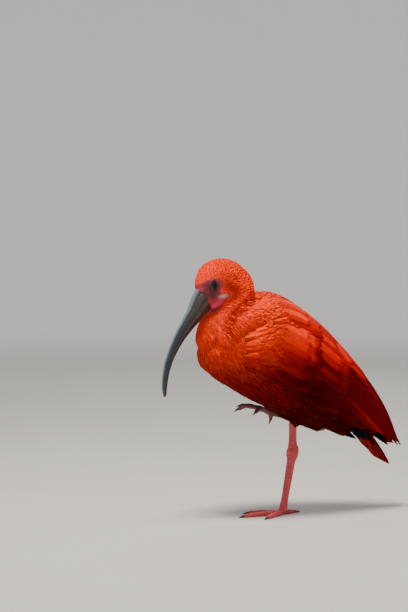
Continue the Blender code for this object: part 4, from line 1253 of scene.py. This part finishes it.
def tail_vanes(name, root_side, tip_side, first, last, height, width):
    """Flat tail feathers from (first, root_side) to (last, tip_side) along the tail's own way."""
    count, share = len(first), np.linspace(0, 1, 14)
    along = first[:, None] + (last - first)[:, None] * share
    sideways = root_side[:, None] + (tip_side - root_side)[:, None] * share
    lift = height[:, None] + 0 * share
    path = (TAIL_ROOT + along[..., None] * TAIL_WAY + lift[..., None] * TAIL_UP
            + sideways[..., None] * np.array([1.0, 0, 0]))
    normal = np.broadcast_to(unit(TAIL_UP), path.shape)
    # Warmth and painted shade are even over the tail.
    values = {"tone": rng.uniform(0, 1, count), "warm": np.full(count, TAIL_WARMTH),
              "dark": np.zeros(count), "deep": np.full(count, TAIL_PAINTED_SHADE)}
    return feathers(name, path, normal, np.full(count, width), TAIL_OUTLINE, FINE_RING, 0.35, values,
                    body_unwrap(path[:, 0]), cup=0.08)


sides = np.tile([-1.0, 1.0], 6)
order = np.repeat(np.arange(6), 2)
tail_feathers = tail_vanes(
    "tail_feathers", sides * (1.2 + 1.0 * order), sides * (1.5 + 2.2 * order), np.full(12, 8.0),
    TAIL_LENGTH * (1 - 0.03 * order), 4.6 - 1.15 * order + 0.5 * (sides > 0), 7.6)
cover = np.arange(14)
upper_cover = cover < 7
tail_coverts = tail_vanes(
    "tail_coverts", np.tile([-7.5, -2.5, 2.5, 7.5, -5, 0, 5], 2), np.tile([-9, -3, 3, 9, -6, 0, 6], 2),
    np.full(14, 2.0), np.where(upper_cover, 46 + 3 * (cover % 3), 58 + 4 * (cover % 3)),
    np.where(upper_cover, 7.4, -6.6), 7.0)

# %% [markdown]
# ## The body's own coat
# Small feathers cover head, neck, trunk and thighs. Their roots could be drawn by chance alone, but
# that leaves bare spots and clumps. A Poisson scatter in Geometry Nodes keeps them evenly apart and
# carries the skin's numbers along.

# %% Scatter the feathers' roots
def scattered_roots(surface, spacing, share_name, seed):
    """Evenly spread roots on a surface, thinned by a share stored on it, with its stored numbers."""
    tree = bpy.data.node_groups.new("scatter_roots", "GeometryNodeTree")
    for in_out in ("INPUT", "OUTPUT"):
        tree.interface.new_socket(name="Geometry", in_out=in_out, socket_type="NodeSocketGeometry")
    source = tree.nodes.new("NodeGroupInput")
    sink = tree.nodes.new("NodeGroupOutput")
    spread = tree.nodes.new("GeometryNodeDistributePointsOnFaces")
    spread.distribute_method = "POISSON"
    spread.inputs["Distance Min"].default_value = spacing * MM
    spread.inputs["Density Max"].default_value = 1.8 / (spacing * MM) ** 2
    spread.inputs["Seed"].default_value = seed
    thin = tree.nodes.new("GeometryNodeInputNamedAttribute")
    thin.data_type = "FLOAT"
    thin.inputs["Name"].default_value = share_name
    vertices = tree.nodes.new("GeometryNodePointsToVertices")
    tree.links.new(source.outputs[0], spread.inputs["Mesh"])
    tree.links.new(thin.outputs["Attribute"], spread.inputs["Density Factor"])
    tree.links.new(spread.outputs["Points"], vertices.inputs["Points"])
    tree.links.new(vertices.outputs["Mesh"], sink.inputs[0])
    modifier = surface.modifiers.new("scatter", "NODES")
    modifier.node_group = tree
    graph = bpy.context.evaluated_depsgraph_get()
    graph.update()
    found = bpy.data.meshes.new_from_object(surface.evaluated_get(graph))
    surface.modifiers.clear()
    bpy.data.node_groups.remove(tree)
    count = len(found.vertices)
    result = {"points": read_vectors(found.vertices, "co", count) / MM - SHIFT}
    for label in ("up", "lie"):
        result[label] = unit(read_vectors(found.attributes[label].data, "vector", count))
    bpy.data.meshes.remove(found)
    return result


def wing_cover(points):
    """1 where the folded wings hide the skin, 0 elsewhere."""
    place, angle = round_body(points)
    around = smoothstep(32, 42, angle) * smoothstep(112, 103, angle)
    return around * smoothstep(0.9, 1.5, place) * smoothstep(8.0, 7.0, place)


on_head = smoothstep(-9, 3, head_side(skin_points))
throat = (1 - on_head) * smoothstep(195, 240, skin_points[:, 2])
throat = throat * smoothstep(-45, -75, skin_points[:, 1])
trunk = (1 - on_head) * (1 - throat) * (1 - 0.85 * wing_cover(skin_points))
low_leg = smoothstep(150, 138, skin_points[:, 2]) * smoothstep(75, 60, skin_points[:, 1])
for label, share in (("grow_head", on_head * (1 - bare)), ("grow_neck", throat),
                     ("grow_body", trunk * (1 - low_leg)), ("grow_leg", low_leg)):
    put_values(skin.data, label, share)
    print(label, "covers a share of", share.mean().round(2), "of the skin")

# %% [markdown]
# A straight feather would stand off wherever the body curves away. So each is laid down step by step:
# the shaft goes on a little, is set back on the nearest place of the skin, and turns with it.

# %% Lay the coat
OLD_NORMAL, FRESH_NORMAL = 0.55, 0.45
ROOT_DEPTH = -0.3


def laid_paths(points, lie, up, length, stations, rise):
    """Shafts that follow the skin: each step goes on along the lie and is set back on the skin."""
    path = np.empty((len(points), stations, 3))
    normal = np.empty(path.shape)
    place, way, above = points, lie, up
    step = (length / (stations - 1))[:, None]
    for station in range(stations):
        share = station / (stations - 1)
        path[:, station] = place + above * (rise[0] + (rise[1] - rise[0]) * share)[:, None]
        normal[:, station] = above
        found = [skin_tree.find_nearest(Vector(p)) for p in place + way * step]
        place = np.array([f[0] for f in found])
        fresh = np.array([f[1] for f in found])
        above = unit(OLD_NORMAL * above + FRESH_NORMAL * fresh)
        way = unit(way - (way * above).sum(1, keepdims=True) * above)
    return path, normal


def coat(name, spacing, share_name, seed, length, half_width, rise, stations, thickness, unwrap,
         waver=0.12):
    """A coat of small feathers over part of the skin; sizes are numbers, or one for each root."""
    roots = scattered_roots(skin, spacing, share_name, seed)
    points, up, lie = roots["points"], roots["up"], roots["lie"]
    count = len(points)
    length, half_width, rise = (size(points) if callable(size) else np.full(count, size)
                                for size in (length, half_width, rise))
    lie = unit(lie - (lie * up).sum(1, keepdims=True) * up)
    lie = unit(lie + np.cross(up, lie) * rng.normal(0, waver, count)[:, None])
    lengths = length * rng.uniform(0.85, 1.15, count)
    lift = rise * rng.uniform(0.75, 1.25, count)
    path, normal = laid_paths(points, lie, up, lengths, stations, (np.full(count, ROOT_DEPTH), lift))
    widths = half_width * rng.uniform(0.85, 1.15, count)
    # Each feather takes the warmth of its root with its painted light, and the painted shade there.
    values = {"tone": rng.uniform(0, 1, count), "warm": warmth_and_painted_light(points), "dark": np.zeros(count),
              "deep": depth(points)}
    return feathers(name, path, normal, widths, SOFT_OUTLINE, FLAT_RING, thickness, values,
                    unwrap(points), cup=0.1)


def head_length(points):
    """Face feathers are smallest; they lengthen towards the nape."""
    return 3.4 + 5.2 * smoothstep(12, 75, np.linalg.norm(points - BILL_ROOT, axis=1))


def thigh_length(points):
    """Thigh feathers lengthen up the leg."""
    return 9.0 + 0.2 * (points[:, 2] - 115).clip(0, 40)


coats = [
    coat("head_coat", 1.4, "grow_head", 3, head_length, lambda p: 0.22 * head_length(p) ** 0.8,
         lambda p: 0.4 + 0.06 * head_length(p), 4, 0.14, head_unwrap),
    coat("neck_coat", 1.9, "grow_neck", 5, 11.0, 1.3, 0.6, 5, 0.1, neck_unwrap, 0.07),
    coat("body_coat", 2.9, "grow_body", 7, 16.0, 2.4, 1.2, 5, 0.1, body_unwrap),
    coat("leg_coat", 2.3, "grow_leg", 9, thigh_length, 1.6, 1.2, 5, 0.12, leg_unwrap),
]


# %% [markdown]
# ## Colours and finishes
# A finish is a tree of nodes that ends in one Principled shader. The trees are long, so a few helpers
# add a node, feed it numbers, colours or other nodes, and hand back its output.

# %% Node helpers
def new_material(name, colour, roughness):
    """A Principled material with a plain start, its node tree and its shader."""
    material = bpy.data.materials.new(name)
    material.use_nodes = True
    shader = material.node_tree.nodes["Principled BSDF"]
    shader.inputs["Base Color"].default_value = (*colour, 1)
    shader.inputs["Roughness"].default_value = roughness
    return material, material.node_tree, shader


def feed(tree, socket, value):
    """Sets an input to a number or a colour, or links another node's output to it."""
    if isinstance(value, (int, float)):
        socket.default_value = value
    elif isinstance(value, tuple):
        socket.default_value = (*value, 1)
    else:
        tree.links.new(value, socket)


def math_node(tree, operation, first, second=0.0, third=None, clamp=False):
    """One Math node; its inputs may be outputs of other nodes, or numbers."""
    node = tree.nodes.new("ShaderNodeMath")
    node.operation = operation
    node.use_clamp = clamp
    for socket, value in zip(node.inputs, (first, second, third)):
        if value is not None:
            feed(tree, socket, value)
    return node.outputs[0]


def mixed(tree, share, first, second, kind="MIX"):
    """Two colours mixed by a share; each may be another node's output, or a plain colour."""
    node = tree.nodes.new("ShaderNodeMix")
    node.data_type = "RGBA"
    node.blend_type = kind
    for index, value in ((0, share), (6, first), (7, second)):
        feed(tree, node.inputs[index], value)
    return node.outputs[2]


def noise(tree, vector, scale, detail=4.0, roughness=0.55):
    """Noise on the given coordinates."""
    node = tree.nodes.new("ShaderNodeTexNoise")
    settings = (("Vector", vector), ("Scale", scale), ("Detail", detail), ("Roughness", roughness))
    for label, value in settings:
        feed(tree, node.inputs[label], value)
    return node.outputs["Fac"]


def ramp(tree, share, first, last, between=()):
    """A colour ramp; each stop is its place and its colour."""
    node = tree.nodes.new("ShaderNodeValToRGB")
    stops = node.color_ramp.elements
    for stop, (position, colour) in zip(stops, (first, last)):
        stop.position = position
        stop.color = (*colour, 1)
    for position, colour in between:
        stops.new(position).color = (*colour, 1)
    feed(tree, node.inputs["Fac"], share)
    return node.outputs["Color"]


def value_of(tree, label):
    """A number stored on the piece, as a node's output."""
    node = tree.nodes.new("ShaderNodeAttribute")
    node.attribute_name = label
    return node.outputs["Fac"]


def object_place(tree):
    """The place on the piece, in metres."""
    return tree.nodes.new("ShaderNodeTexCoord").outputs["Object"]


def bumped(tree, shader, height, strength, distance):
    """Raises the shader's normal by a height that spans so many millimetres."""
    node = tree.nodes.new("ShaderNodeBump")
    node.inputs["Strength"].default_value = strength
    node.inputs["Distance"].default_value = distance * MM
    tree.links.new(height, node.inputs["Height"])
    tree.links.new(node.outputs["Normal"], shader.inputs["Normal"])


def finish_with(material, *pieces):
    """Puts one material on pieces."""
    for piece in pieces:
        piece.data.materials.append(material)
    print("finish", material.name, "pieces:", len(pieces))


# %% [markdown]
# The plumage isn't one red. It runs from deep scarlet to orange with the warmth stored at each point,
# which holds painted light too, a broad and a fine noise, and each feather's own tone, and the painted
# shade stored there darkens it. It could be written anew in each material, but as one group of nodes,
# skin and feathers always match where they meet.

# %% Plumage group
DEEP_SCARLET, SCARLET, ORANGE = (0.26, 0.0008, 0.001), (0.72, 0.006, 0.002), (1.0, 0.045, 0.004)
SCARLET_AT = 0.45
# Painted shade: the red is multiplied towards DEEP_SHADE where the stored painted shade is full.
UNSHADED, DEEP_SHADE, TIP_BLACK = (1.0, 1.0, 1.0), (0.3, 0.22, 0.4), (0.006, 0.005, 0.007)
BROAD_SWAY, FINE_SWAY = 0.5, 0.3
TONE_SPREAD, TONE_START = 0.44, -0.34


def plumage_group():
    """Red of the plumage: a ramp over warmth with its painted light, noises and tone, then its painted
    shade, then black tips.
    """
    tree = bpy.data.node_groups.new("plumage_red", "ShaderNodeTree")
    for label in ("Warmth and light", "Tone", "Dark", "Painted shade"):
        tree.interface.new_socket(name=label, in_out="INPUT", socket_type="NodeSocketFloat")
    tree.interface.new_socket(name="Place", in_out="INPUT", socket_type="NodeSocketVector")
    tree.interface.new_socket(name="Colour", in_out="OUTPUT", socket_type="NodeSocketColor")
    source = tree.nodes.new("NodeGroupInput").outputs
    sink = tree.nodes.new("NodeGroupOutput").inputs
    broad = noise(tree, source["Place"], 16.0, 3.0)
    fine = noise(tree, source["Place"], 120.0, 4.0)
    sway = math_node(tree, "MULTIPLY_ADD", broad, BROAD_SWAY, -0.5 * BROAD_SWAY)
    sway = math_node(tree, "MULTIPLY_ADD", fine, FINE_SWAY, sway)
    lean = math_node(tree, "MULTIPLY_ADD", source["Tone"], TONE_SPREAD, TONE_START)
    share = math_node(tree, "ADD", source["Warmth and light"], sway)
    share = math_node(tree, "ADD", share, lean, clamp=True)
    red = ramp(tree, share, (0.0, DEEP_SCARLET), (1.0, ORANGE), [(SCARLET_AT, SCARLET)])
    # Painted shade darkens the red by the stored value.
    shade = mixed(tree, source["Painted shade"], UNSHADED, DEEP_SHADE)
    red = mixed(tree, 1.0, red, shade, "MULTIPLY")
    tree.links.new(mixed(tree, source["Dark"], red, TIP_BLACK), sink["Colour"])
    return tree


PLUMAGE = plumage_group()
SKIN_TONE = 0.4


def plumage_colour(tree, feathered=True):
    """The plumage group in a material, fed by the numbers stored on the piece."""
    node = tree.nodes.new("ShaderNodeGroup")
    node.node_tree = PLUMAGE
    # The stored warmth holds painted light, and the stored painted shade darkens the red.
    feed(tree, node.inputs["Warmth and light"], value_of(tree, "warm"))
    feed(tree, node.inputs["Painted shade"], value_of(tree, "deep"))
    feed(tree, node.inputs["Tone"], value_of(tree, "tone") if feathered else SKIN_TONE)
    feed(tree, node.inputs["Dark"], value_of(tree, "dark") if feathered else 0.0)
    feed(tree, node.inputs["Place"], object_place(tree))
    return node.outputs["Colour"]


print("nodes in the plumage group:", len(PLUMAGE.nodes))

# %% [markdown]
# Barbs run out from a feather's shaft at a slant. As geometry they would cost millions of faces, so
# they are a fine bump on the vane's own unwrap, which gives the distance from the shaft and the run
# along it. Faint streaks follow the same slant, and each vane is painted darker towards its root, a
# painted shade where the feather above covers it.

# %% Feather finishes
PLAIN_RED = (0.6, 0.02, 0.01)
BARB_SLANT = -1.1
GRAIN_SCALES = (14.0, 3.0, 70.0)  # across the vane, along its barbs, and from feather to feather
SHEEN_RED = (1.0, 0.3, 0.16, 1)


def feather_material(name, barb_scale, barb_depth, roughness, painted_root_shade, contrast):
    """A vane's finish: plumage red times streaks, a painted shade towards the root and its own shade, with
    barbs as a sine in bump.
    """
    material, tree, shader = new_material(name, PLAIN_RED, roughness)
    colour = plumage_colour(tree)
    uv = tree.nodes.new("ShaderNodeUVMap")
    uv.uv_map = "Vane"
    split = tree.nodes.new("ShaderNodeSeparateXYZ")
    tree.links.new(uv.outputs["UV"], split.inputs[0])
    out = math_node(tree, "ABSOLUTE", split.outputs["X"])
    slant = math_node(tree, "MULTIPLY_ADD", out, BARB_SLANT, split.outputs["Y"])
    barbs = math_node(tree, "SINE", math_node(tree, "MULTIPLY", slant, barb_scale))
    height = math_node(tree, "MULTIPLY_ADD", barbs, 0.5, 0.5)
    ragged = noise(tree, object_place(tree), 900.0, 3.0)
    bumped(tree, shader, math_node(tree, "MULTIPLY_ADD", ragged, 0.8, height), 0.5, barb_depth)
    grain = tree.nodes.new("ShaderNodeCombineXYZ")
    runs = (split.outputs["X"], slant, value_of(tree, "tone"))
    for socket, run, scale in zip(grain.inputs, runs, GRAIN_SCALES):
        tree.links.new(math_node(tree, "MULTIPLY", run, scale), socket)
    streak = noise(tree, grain.outputs[0], 1.0, 3.0)
    dim = math_node(tree, "MULTIPLY_ADD", streak, 0.7, 0.55)
    # Painted shade: the vane is darker towards its covered root and fully bright at its tip.
    painted_tier_shade = math_node(tree, "MULTIPLY_ADD", value_of(tree, "tip"), 1.0 - painted_root_shade, painted_root_shade)
    dim = math_node(tree, "MULTIPLY", dim, painted_tier_shade)
    darkest = 1.03 - 0.5 * contrast
    own_shade = math_node(tree, "MULTIPLY_ADD", value_of(tree, "tone"), contrast, darkest)
    dim = math_node(tree, "MULTIPLY", dim, own_shade)
    shade = tree.nodes.new("ShaderNodeVectorMath")
    shade.operation = "SCALE"
    tree.links.new(colour, shade.inputs[0])
    tree.links.new(dim, shade.inputs["Scale"])
    tree.links.new(shade.outputs[0], shader.inputs["Base Color"])
    shader.inputs["Specular IOR Level"].default_value = 0.015
    shader.inputs["Specular Tint"].default_value = SHEEN_RED
    return material


wing_finish = feather_material("wing_feather", 38.0, 0.12, 0.5, 0.52, 0.5)
soft_finish = feather_material("soft_feather", 26.0, 0.1, 0.62, 0.7, 0.15)
wing_pieces = [*wings_left, *wings_right]
small = [piece for piece in wing_pieces if piece.name.startswith(("lesser", "mantle"))]
large = [piece for piece in wing_pieces if piece not in small]
finish_with(wing_finish, *large, tail_feathers, tail_coverts)
finish_with(soft_finish, *small, *coats)

# %% [markdown]
# Under the feathers the skin is red like them, with the same painted light and shade, so no gap shows.
# On the face it is bare: the tints stored there mix pink, mauve and pale skin and a painted shadow under
# the cheek, broken up by noise and wrinkled by a fine bump.

# %% Skin finish
# Each colour of the face runs between two shades
FACE_RED = ((0.3, 0.01, 0.015), (0.42, 0.03, 0.045))
# The mauve shades paint the shadow under the cheek as well.
FACE_TINTS = (("mauve_and_painted_shadow", ((0.09, 0.01, 0.018), (0.18, 0.03, 0.048))),
              ("pink", ((0.46, 0.008, 0.05), (0.8, 0.07, 0.17))),
              ("pale", ((0.6, 0.26, 0.28), (0.85, 0.55, 0.52))))


def skin_material():
    """Red down under the feathers, and the bare face: mauve, pink, a painted shadow under the cheek, and
    finely wrinkled.
    """
    material, tree, shader = new_material("skin", PLAIN_RED, 0.6)
    red = plumage_colour(tree, feathered=False)
    place = object_place(tree)
    patches = noise(tree, place, 420.0, 5.0)
    face = mixed(tree, patches, *FACE_RED)
    for label, shades in FACE_TINTS:
        face = mixed(tree, value_of(tree, label), face, mixed(tree, patches, *shades))
    tree.links.new(mixed(tree, value_of(tree, "bare"), red, face), shader.inputs["Base Color"])
    bumped(tree, shader, noise(tree, place, 700.0, 5.0, 0.7), 0.7, 0.4)
    shader.inputs["Specular IOR Level"].default_value = 0.3
    return material


finish_with(skin_material(), skin)

# %% [markdown]
# The bill is slate horn with brown streaks near the face, and a pale bluish painted highlight along
# its ridge, where light would catch it. The streaks are noise stretched along the bill, and they
# roughen it a little too.

# %% Bill finish
SLATE, SLATE_PALE = (0.004, 0.005, 0.008), (0.02, 0.026, 0.036)
HORN_BROWN, PAINTED_RIDGE_HIGHLIGHT = (0.055, 0.038, 0.026), (0.16, 0.21, 0.25)
STREAK_STRETCH = (900, 160, 120)


def bill_material():
    """Slate horn with brown streaks near the face and a painted bluish highlight on the ridge."""
    material, tree, shader = new_material("bill_horn", (0.07, 0.08, 0.1), 0.3)
    stretch = tree.nodes.new("ShaderNodeMapping")
    stretch.inputs["Scale"].default_value = STREAK_STRETCH
    tree.links.new(object_place(tree), stretch.inputs["Vector"])
    streaks = noise(tree, stretch.outputs["Vector"], 1.0, 5.0, 0.6)
    near = math_node(tree, "MULTIPLY_ADD", value_of(tree, "along"), -2.6, 1.1, clamp=True)
    brown = math_node(tree, "MULTIPLY", near, streaks)
    brown = math_node(tree, "MULTIPLY", brown, 1.3, clamp=True)
    colour = mixed(tree, brown, mixed(tree, streaks, SLATE, SLATE_PALE), HORN_BROWN)
    # Painted highlight: a pale blue band where the stored ridge value is high, along the top and the
    # underside of the bill.
    ridge_highlight = math_node(tree, "SUBTRACT", value_of(tree, "ridge"), 0.8)
    ridge_highlight = math_node(tree, "MULTIPLY", ridge_highlight, 4.0, clamp=True)
    tree.links.new(mixed(tree, ridge_highlight, colour, PAINTED_RIDGE_HIGHLIGHT), shader.inputs["Base Color"])
    gloss = math_node(tree, "MULTIPLY_ADD", streaks, 0.25, 0.16)
    tree.links.new(gloss, shader.inputs["Roughness"])
    bumped(tree, shader, streaks, 0.5, 0.25)
    shader.inputs["Coat Weight"].default_value = 0.4
    shader.inputs["Coat Roughness"].default_value = 0.16
    return material


finish_with(bill_material(), bill_upper, bill_lower)

# %% [markdown]
# The standing leg is pinkish red and the lifted one lies in shade, so one finish is made twice with
# two colours each, the lifted leg's darker as painted shade. Its seams follow the scales stored on the
# leg, and the small round scales between them are cells of a Voronoi pattern.

# %% Leg and claw finishes
SEAM_RED, SEAM_SHARE = (0.16, 0.008, 0.012), 0.35
CLAW_BLACK, CLAW_WORN = (0.008, 0.007, 0.007), (0.05, 0.042, 0.038)


def leg_material(name, low, high):
    """Pinkish red scales, darker in the seams between them."""
    material, tree, shader = new_material(name, high, 0.45)
    place = object_place(tree)
    colour = mixed(tree, noise(tree, place, 160.0, 4.0), low, high)
    seam = math_node(tree, "SUBTRACT", 1.0, value_of(tree, "scute"))
    seam = math_node(tree, "MULTIPLY", seam, value_of(tree, "shield"))
    seam = math_node(tree, "MULTIPLY", seam, SEAM_SHARE)
    tree.links.new(mixed(tree, seam, colour, SEAM_RED), shader.inputs["Base Color"])
    cells = tree.nodes.new("ShaderNodeTexVoronoi")
    cells.feature = "DISTANCE_TO_EDGE"
    cells.inputs["Scale"].default_value = 650.0
    tree.links.new(place, cells.inputs["Vector"])
    bumped(tree, shader, math_node(tree, "MINIMUM", cells.outputs["Distance"], 0.16), 0.8, 1.2)
    return material


def claw_material():
    """Black horn, a little worn."""
    material, tree, shader = new_material("claw_horn", (0.02, 0.017, 0.016), 0.35)
    wear = noise(tree, object_place(tree), 260.0, 4.0)
    tree.links.new(mixed(tree, wear, CLAW_BLACK, CLAW_WORN), shader.inputs["Base Color"])
    return material


finish_with(leg_material("leg_standing", (0.44, 0.014, 0.026), (0.68, 0.085, 0.1)), leg_left)
# Painted shade: the lifted leg takes darker colours because it lies in shade.
finish_with(leg_material("leg_lifted_painted_shade", (0.06, 0.014, 0.014), (0.2, 0.05, 0.05)), leg_right)
finish_with(claw_material(), claws_left, claws_right)

# %% [markdown]
# An ibis's eye is nearly black: a dark brown iris round a black pupil, under a wet coat. The pupil
# could be a disc of its own, but a ramp over the distance from the ball's tip gives it a soft rim.

# %% Eye and lid finishes
PUPIL, IRIS = (0.004, 0.004, 0.005), (0.014, 0.008, 0.008)
PUPIL_EDGE, IRIS_EDGE = 0.36, 0.44
IRIS_REACH = 6.0
LID_DARK, LID_PALE = (0.035, 0.008, 0.012), (0.08, 0.018, 0.03)


def eye_material(tip):
    """Black pupil and dark brown iris, told by distance from the tip / reach, under a wet coat."""
    material, tree, shader = new_material("eye", (0.01, 0.008, 0.008), 0.3)
    gap = tree.nodes.new("ShaderNodeVectorMath")
    gap.operation = "DISTANCE"
    gap.inputs[1].default_value = tuple(tip)
    tree.links.new(object_place(tree), gap.inputs[0])
    share = math_node(tree, "MULTIPLY", gap.outputs["Value"], 1 / (IRIS_REACH * MM))
    brown = ramp(tree, share, (PUPIL_EDGE, PUPIL), (IRIS_EDGE, IRIS))
    tree.links.new(brown, shader.inputs["Base Color"])
    shader.inputs["Specular IOR Level"].default_value = 0.15
    shader.inputs["Coat Weight"].default_value = 0.15
    shader.inputs["Coat Roughness"].default_value = 0.03
    return material


def lid_material():
    """Greyish pink bare lid, finely lined."""
    material, tree, shader = new_material("lid_skin", (0.4, 0.16, 0.17), 0.5)
    lines = noise(tree, object_place(tree), 500.0, 4.0)
    tree.links.new(mixed(tree, lines, LID_DARK, LID_PALE), shader.inputs["Base Color"])
    bumped(tree, shader, lines, 1.0, 0.3)
    return material


for side, eye in zip((1, -1), eyes):
    tip = turned(mirrored(EYE_CENTRE + np.array([EYE_RADIUS, 0, 0]), side))
    finish_with(eye_material((tip + SHIFT) * MM), eye)
finish_with(lid_material(), *lids)

# %% [markdown]
# ## One body, and the solids stood in for
# The bird has one body, so every piece rides on it, and the solids that the dressed pieces stand in
# for are hidden.

# %% Everything rides on the one body
everything = [skin, bill_upper, bill_lower, *eyes, *lids, leg_left, leg_right, claws_left, claws_right,
              *wings_left, *wings_right, tail_feathers, tail_coverts, *coats]
for piece in everything:
    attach(piece, "root")
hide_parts("torso", "neck", "head", "thigh_left", "thigh_right")
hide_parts("wing_left")
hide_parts("wing_right")
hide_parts("tail")
print("pieces that ride on the body:", len(everything))

# %% [markdown]
# ## Floor, light and camera
# A pale floor and soft studio lights show the bird plainly. A flat floor would end in a hard line
# behind it, so this one bends up far away and glows faintly there as painted light, like a studio's lit
# roll of paper.

# %% Floor
FLOOR_REACH, FLOOR_FLAT, FLOOR_BEND, FLOOR_LEVEL = 6000, 3700, 1200, -0.02
FLOOR_STEPS = 121


def stage_floor():
    """A large pale floor, flat to a radius and then rising: z = (radius - flat)^2 / bend."""
    run = np.linspace(-1, 1, FLOOR_STEPS) * FLOOR_REACH
    x, y = np.meshgrid(run, run, indexing="ij")
    z = FLOOR_LEVEL + np.clip(np.hypot(x, y) - FLOOR_FLAT, 0, None) ** 2 / FLOOR_BEND
    index = np.arange(FLOOR_STEPS**2).reshape(FLOOR_STEPS, FLOOR_STEPS)
    quads = np.stack([index[:-1, :-1], index[1:, :-1], index[1:, 1:], index[:-1, 1:]], -1)
    points = np.stack([x, y, z], -1).reshape(-1, 3) - SHIFT * [1, 1, 0]
    floor = mesh_object("floor", points, quads)
    material, tree, shader = new_material("pale_floor", (0.72, 0.71, 0.69), 0.7)
    speckle = noise(tree, object_place(tree), 3.0, 2.0)
    pale = mixed(tree, speckle, (0.5, 0.495, 0.48), (0.54, 0.535, 0.52))
    tree.links.new(pale, shader.inputs["Base Color"])
    # Painted light: the floor glows, more the farther it is from the middle, though no lamp is there.
    away = tree.nodes.new("ShaderNodeVectorMath")
    away.operation = "LENGTH"
    tree.links.new(object_place(tree), away.inputs[0])
    far = math_node(tree, "MULTIPLY_ADD", away.outputs["Value"], 0.5, -0.9, clamp=True)
    glow = mixed(tree, far, (0.0, 0.0, 0.0), (0.3, 0.297, 0.29))
    tree.links.new(glow, shader.inputs["Emission Color"])
    shader.inputs["Emission Strength"].default_value = 1.0
    finish_with(material, floor)


stage_floor()

# %% [markdown]
# Three soft area lights do what a studio does: a strong warm key from above, a weak fill from the
# camera's side, and a light from behind that draws the outline of the back.

# %% Lights
CENTRE = (0.0, 0.0, 0.2)
SKY_COLOUR, SKY_STRENGTH = (0.86, 0.88, 0.9, 1), 0.2


def area_light(name, place, target, size, power, colour):
    """A soft square light that looks at a point."""
    light = bpy.data.lights.new(name, "AREA")
    light.size = size
    light.energy = power
    light.color = colour
    lamp = bpy.data.objects.new(name, light)
    bpy.context.scene.collection.objects.link(lamp)
    lamp.location = place
    lamp.rotation_mode = "QUATERNION"
    lamp.rotation_quaternion = (Vector(target) - Vector(place)).to_track_quat("-Z", "Y")
    lamp.visible_camera = False
    print(name, "light, watts:", power)


area_light("key", (0.35, -0.45, 2.2), CENTRE, 0.7, 88.0, (1.0, 0.92, 0.8))
area_light("fill", (2.2, -1.6, 0.9), CENTRE, 1.6, 3.0, (0.95, 0.97, 1.0))
area_light("back", (-1.6, 1.2, 1.3), CENTRE, 1.2, 10.0, (1.0, 0.96, 0.92))
world = bpy.data.worlds.new("studio")
world.use_nodes = True
sky = world.node_tree.nodes["Background"].inputs
sky["Color"].default_value = SKY_COLOUR
sky["Strength"].default_value = SKY_STRENGTH
bpy.context.scene.world = world

# %% [markdown]
# The camera looks from the bird's front left, a little above it, with a long lens from far off, as
# wild birds are photographed. Its frame is a height at the bird: lens = sensor * distance / height.

# %% Camera
AZIMUTH, ELEVATION = math.radians(60.0), math.radians(5.0)
DISTANCE = 3.3
PICTURE_HEIGHT, MM_PER_PIXEL = 612, 1.35
FRAME_HEIGHT = PICTURE_HEIGHT * MM_PER_PIXEL * MM
FRAME_MIDDLE = (-0.1073, 0.2823)  # across and up from the standing foot, in the camera's plane
LEVEL_WITH = np.array([0, -0.008, 0.17])  # the camera stands square to this point over the foot
SENSOR = 36.0
CLIP_START = 0.05
back = np.array([math.sin(AZIMUTH) * math.cos(ELEVATION), -math.cos(AZIMUTH) * math.cos(ELEVATION),
                 math.sin(ELEVATION)])
right = np.array([math.cos(AZIMUTH), math.sin(AZIMUTH), 0])
above = np.cross(back, right)
target = right * FRAME_MIDDLE[0] + above * FRAME_MIDDLE[1] + SHIFT * MM
place = LEVEL_WITH + SHIFT * MM + back * DISTANCE
camera_data = bpy.data.cameras.new("camera")
camera_data.sensor_width = SENSOR
camera_data.lens = SENSOR * DISTANCE / FRAME_HEIGHT
camera_data.clip_start = CLIP_START
camera = bpy.data.objects.new("camera", camera_data)
bpy.context.scene.collection.objects.link(camera)
camera.location = Vector(place)
camera.rotation_mode = "QUATERNION"
camera.rotation_quaternion = Vector(target - place).to_track_quat("-Z", "Y")
bpy.context.scene.camera = camera
print("lens, mm:", round(camera_data.lens, 1))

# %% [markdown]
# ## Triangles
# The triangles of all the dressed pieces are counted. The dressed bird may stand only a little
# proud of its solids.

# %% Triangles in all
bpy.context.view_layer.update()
triangles = sum(len(p.vertices) - 2 for o in everything for p in o.data.polygons)
print("triangles in all:", triangles)
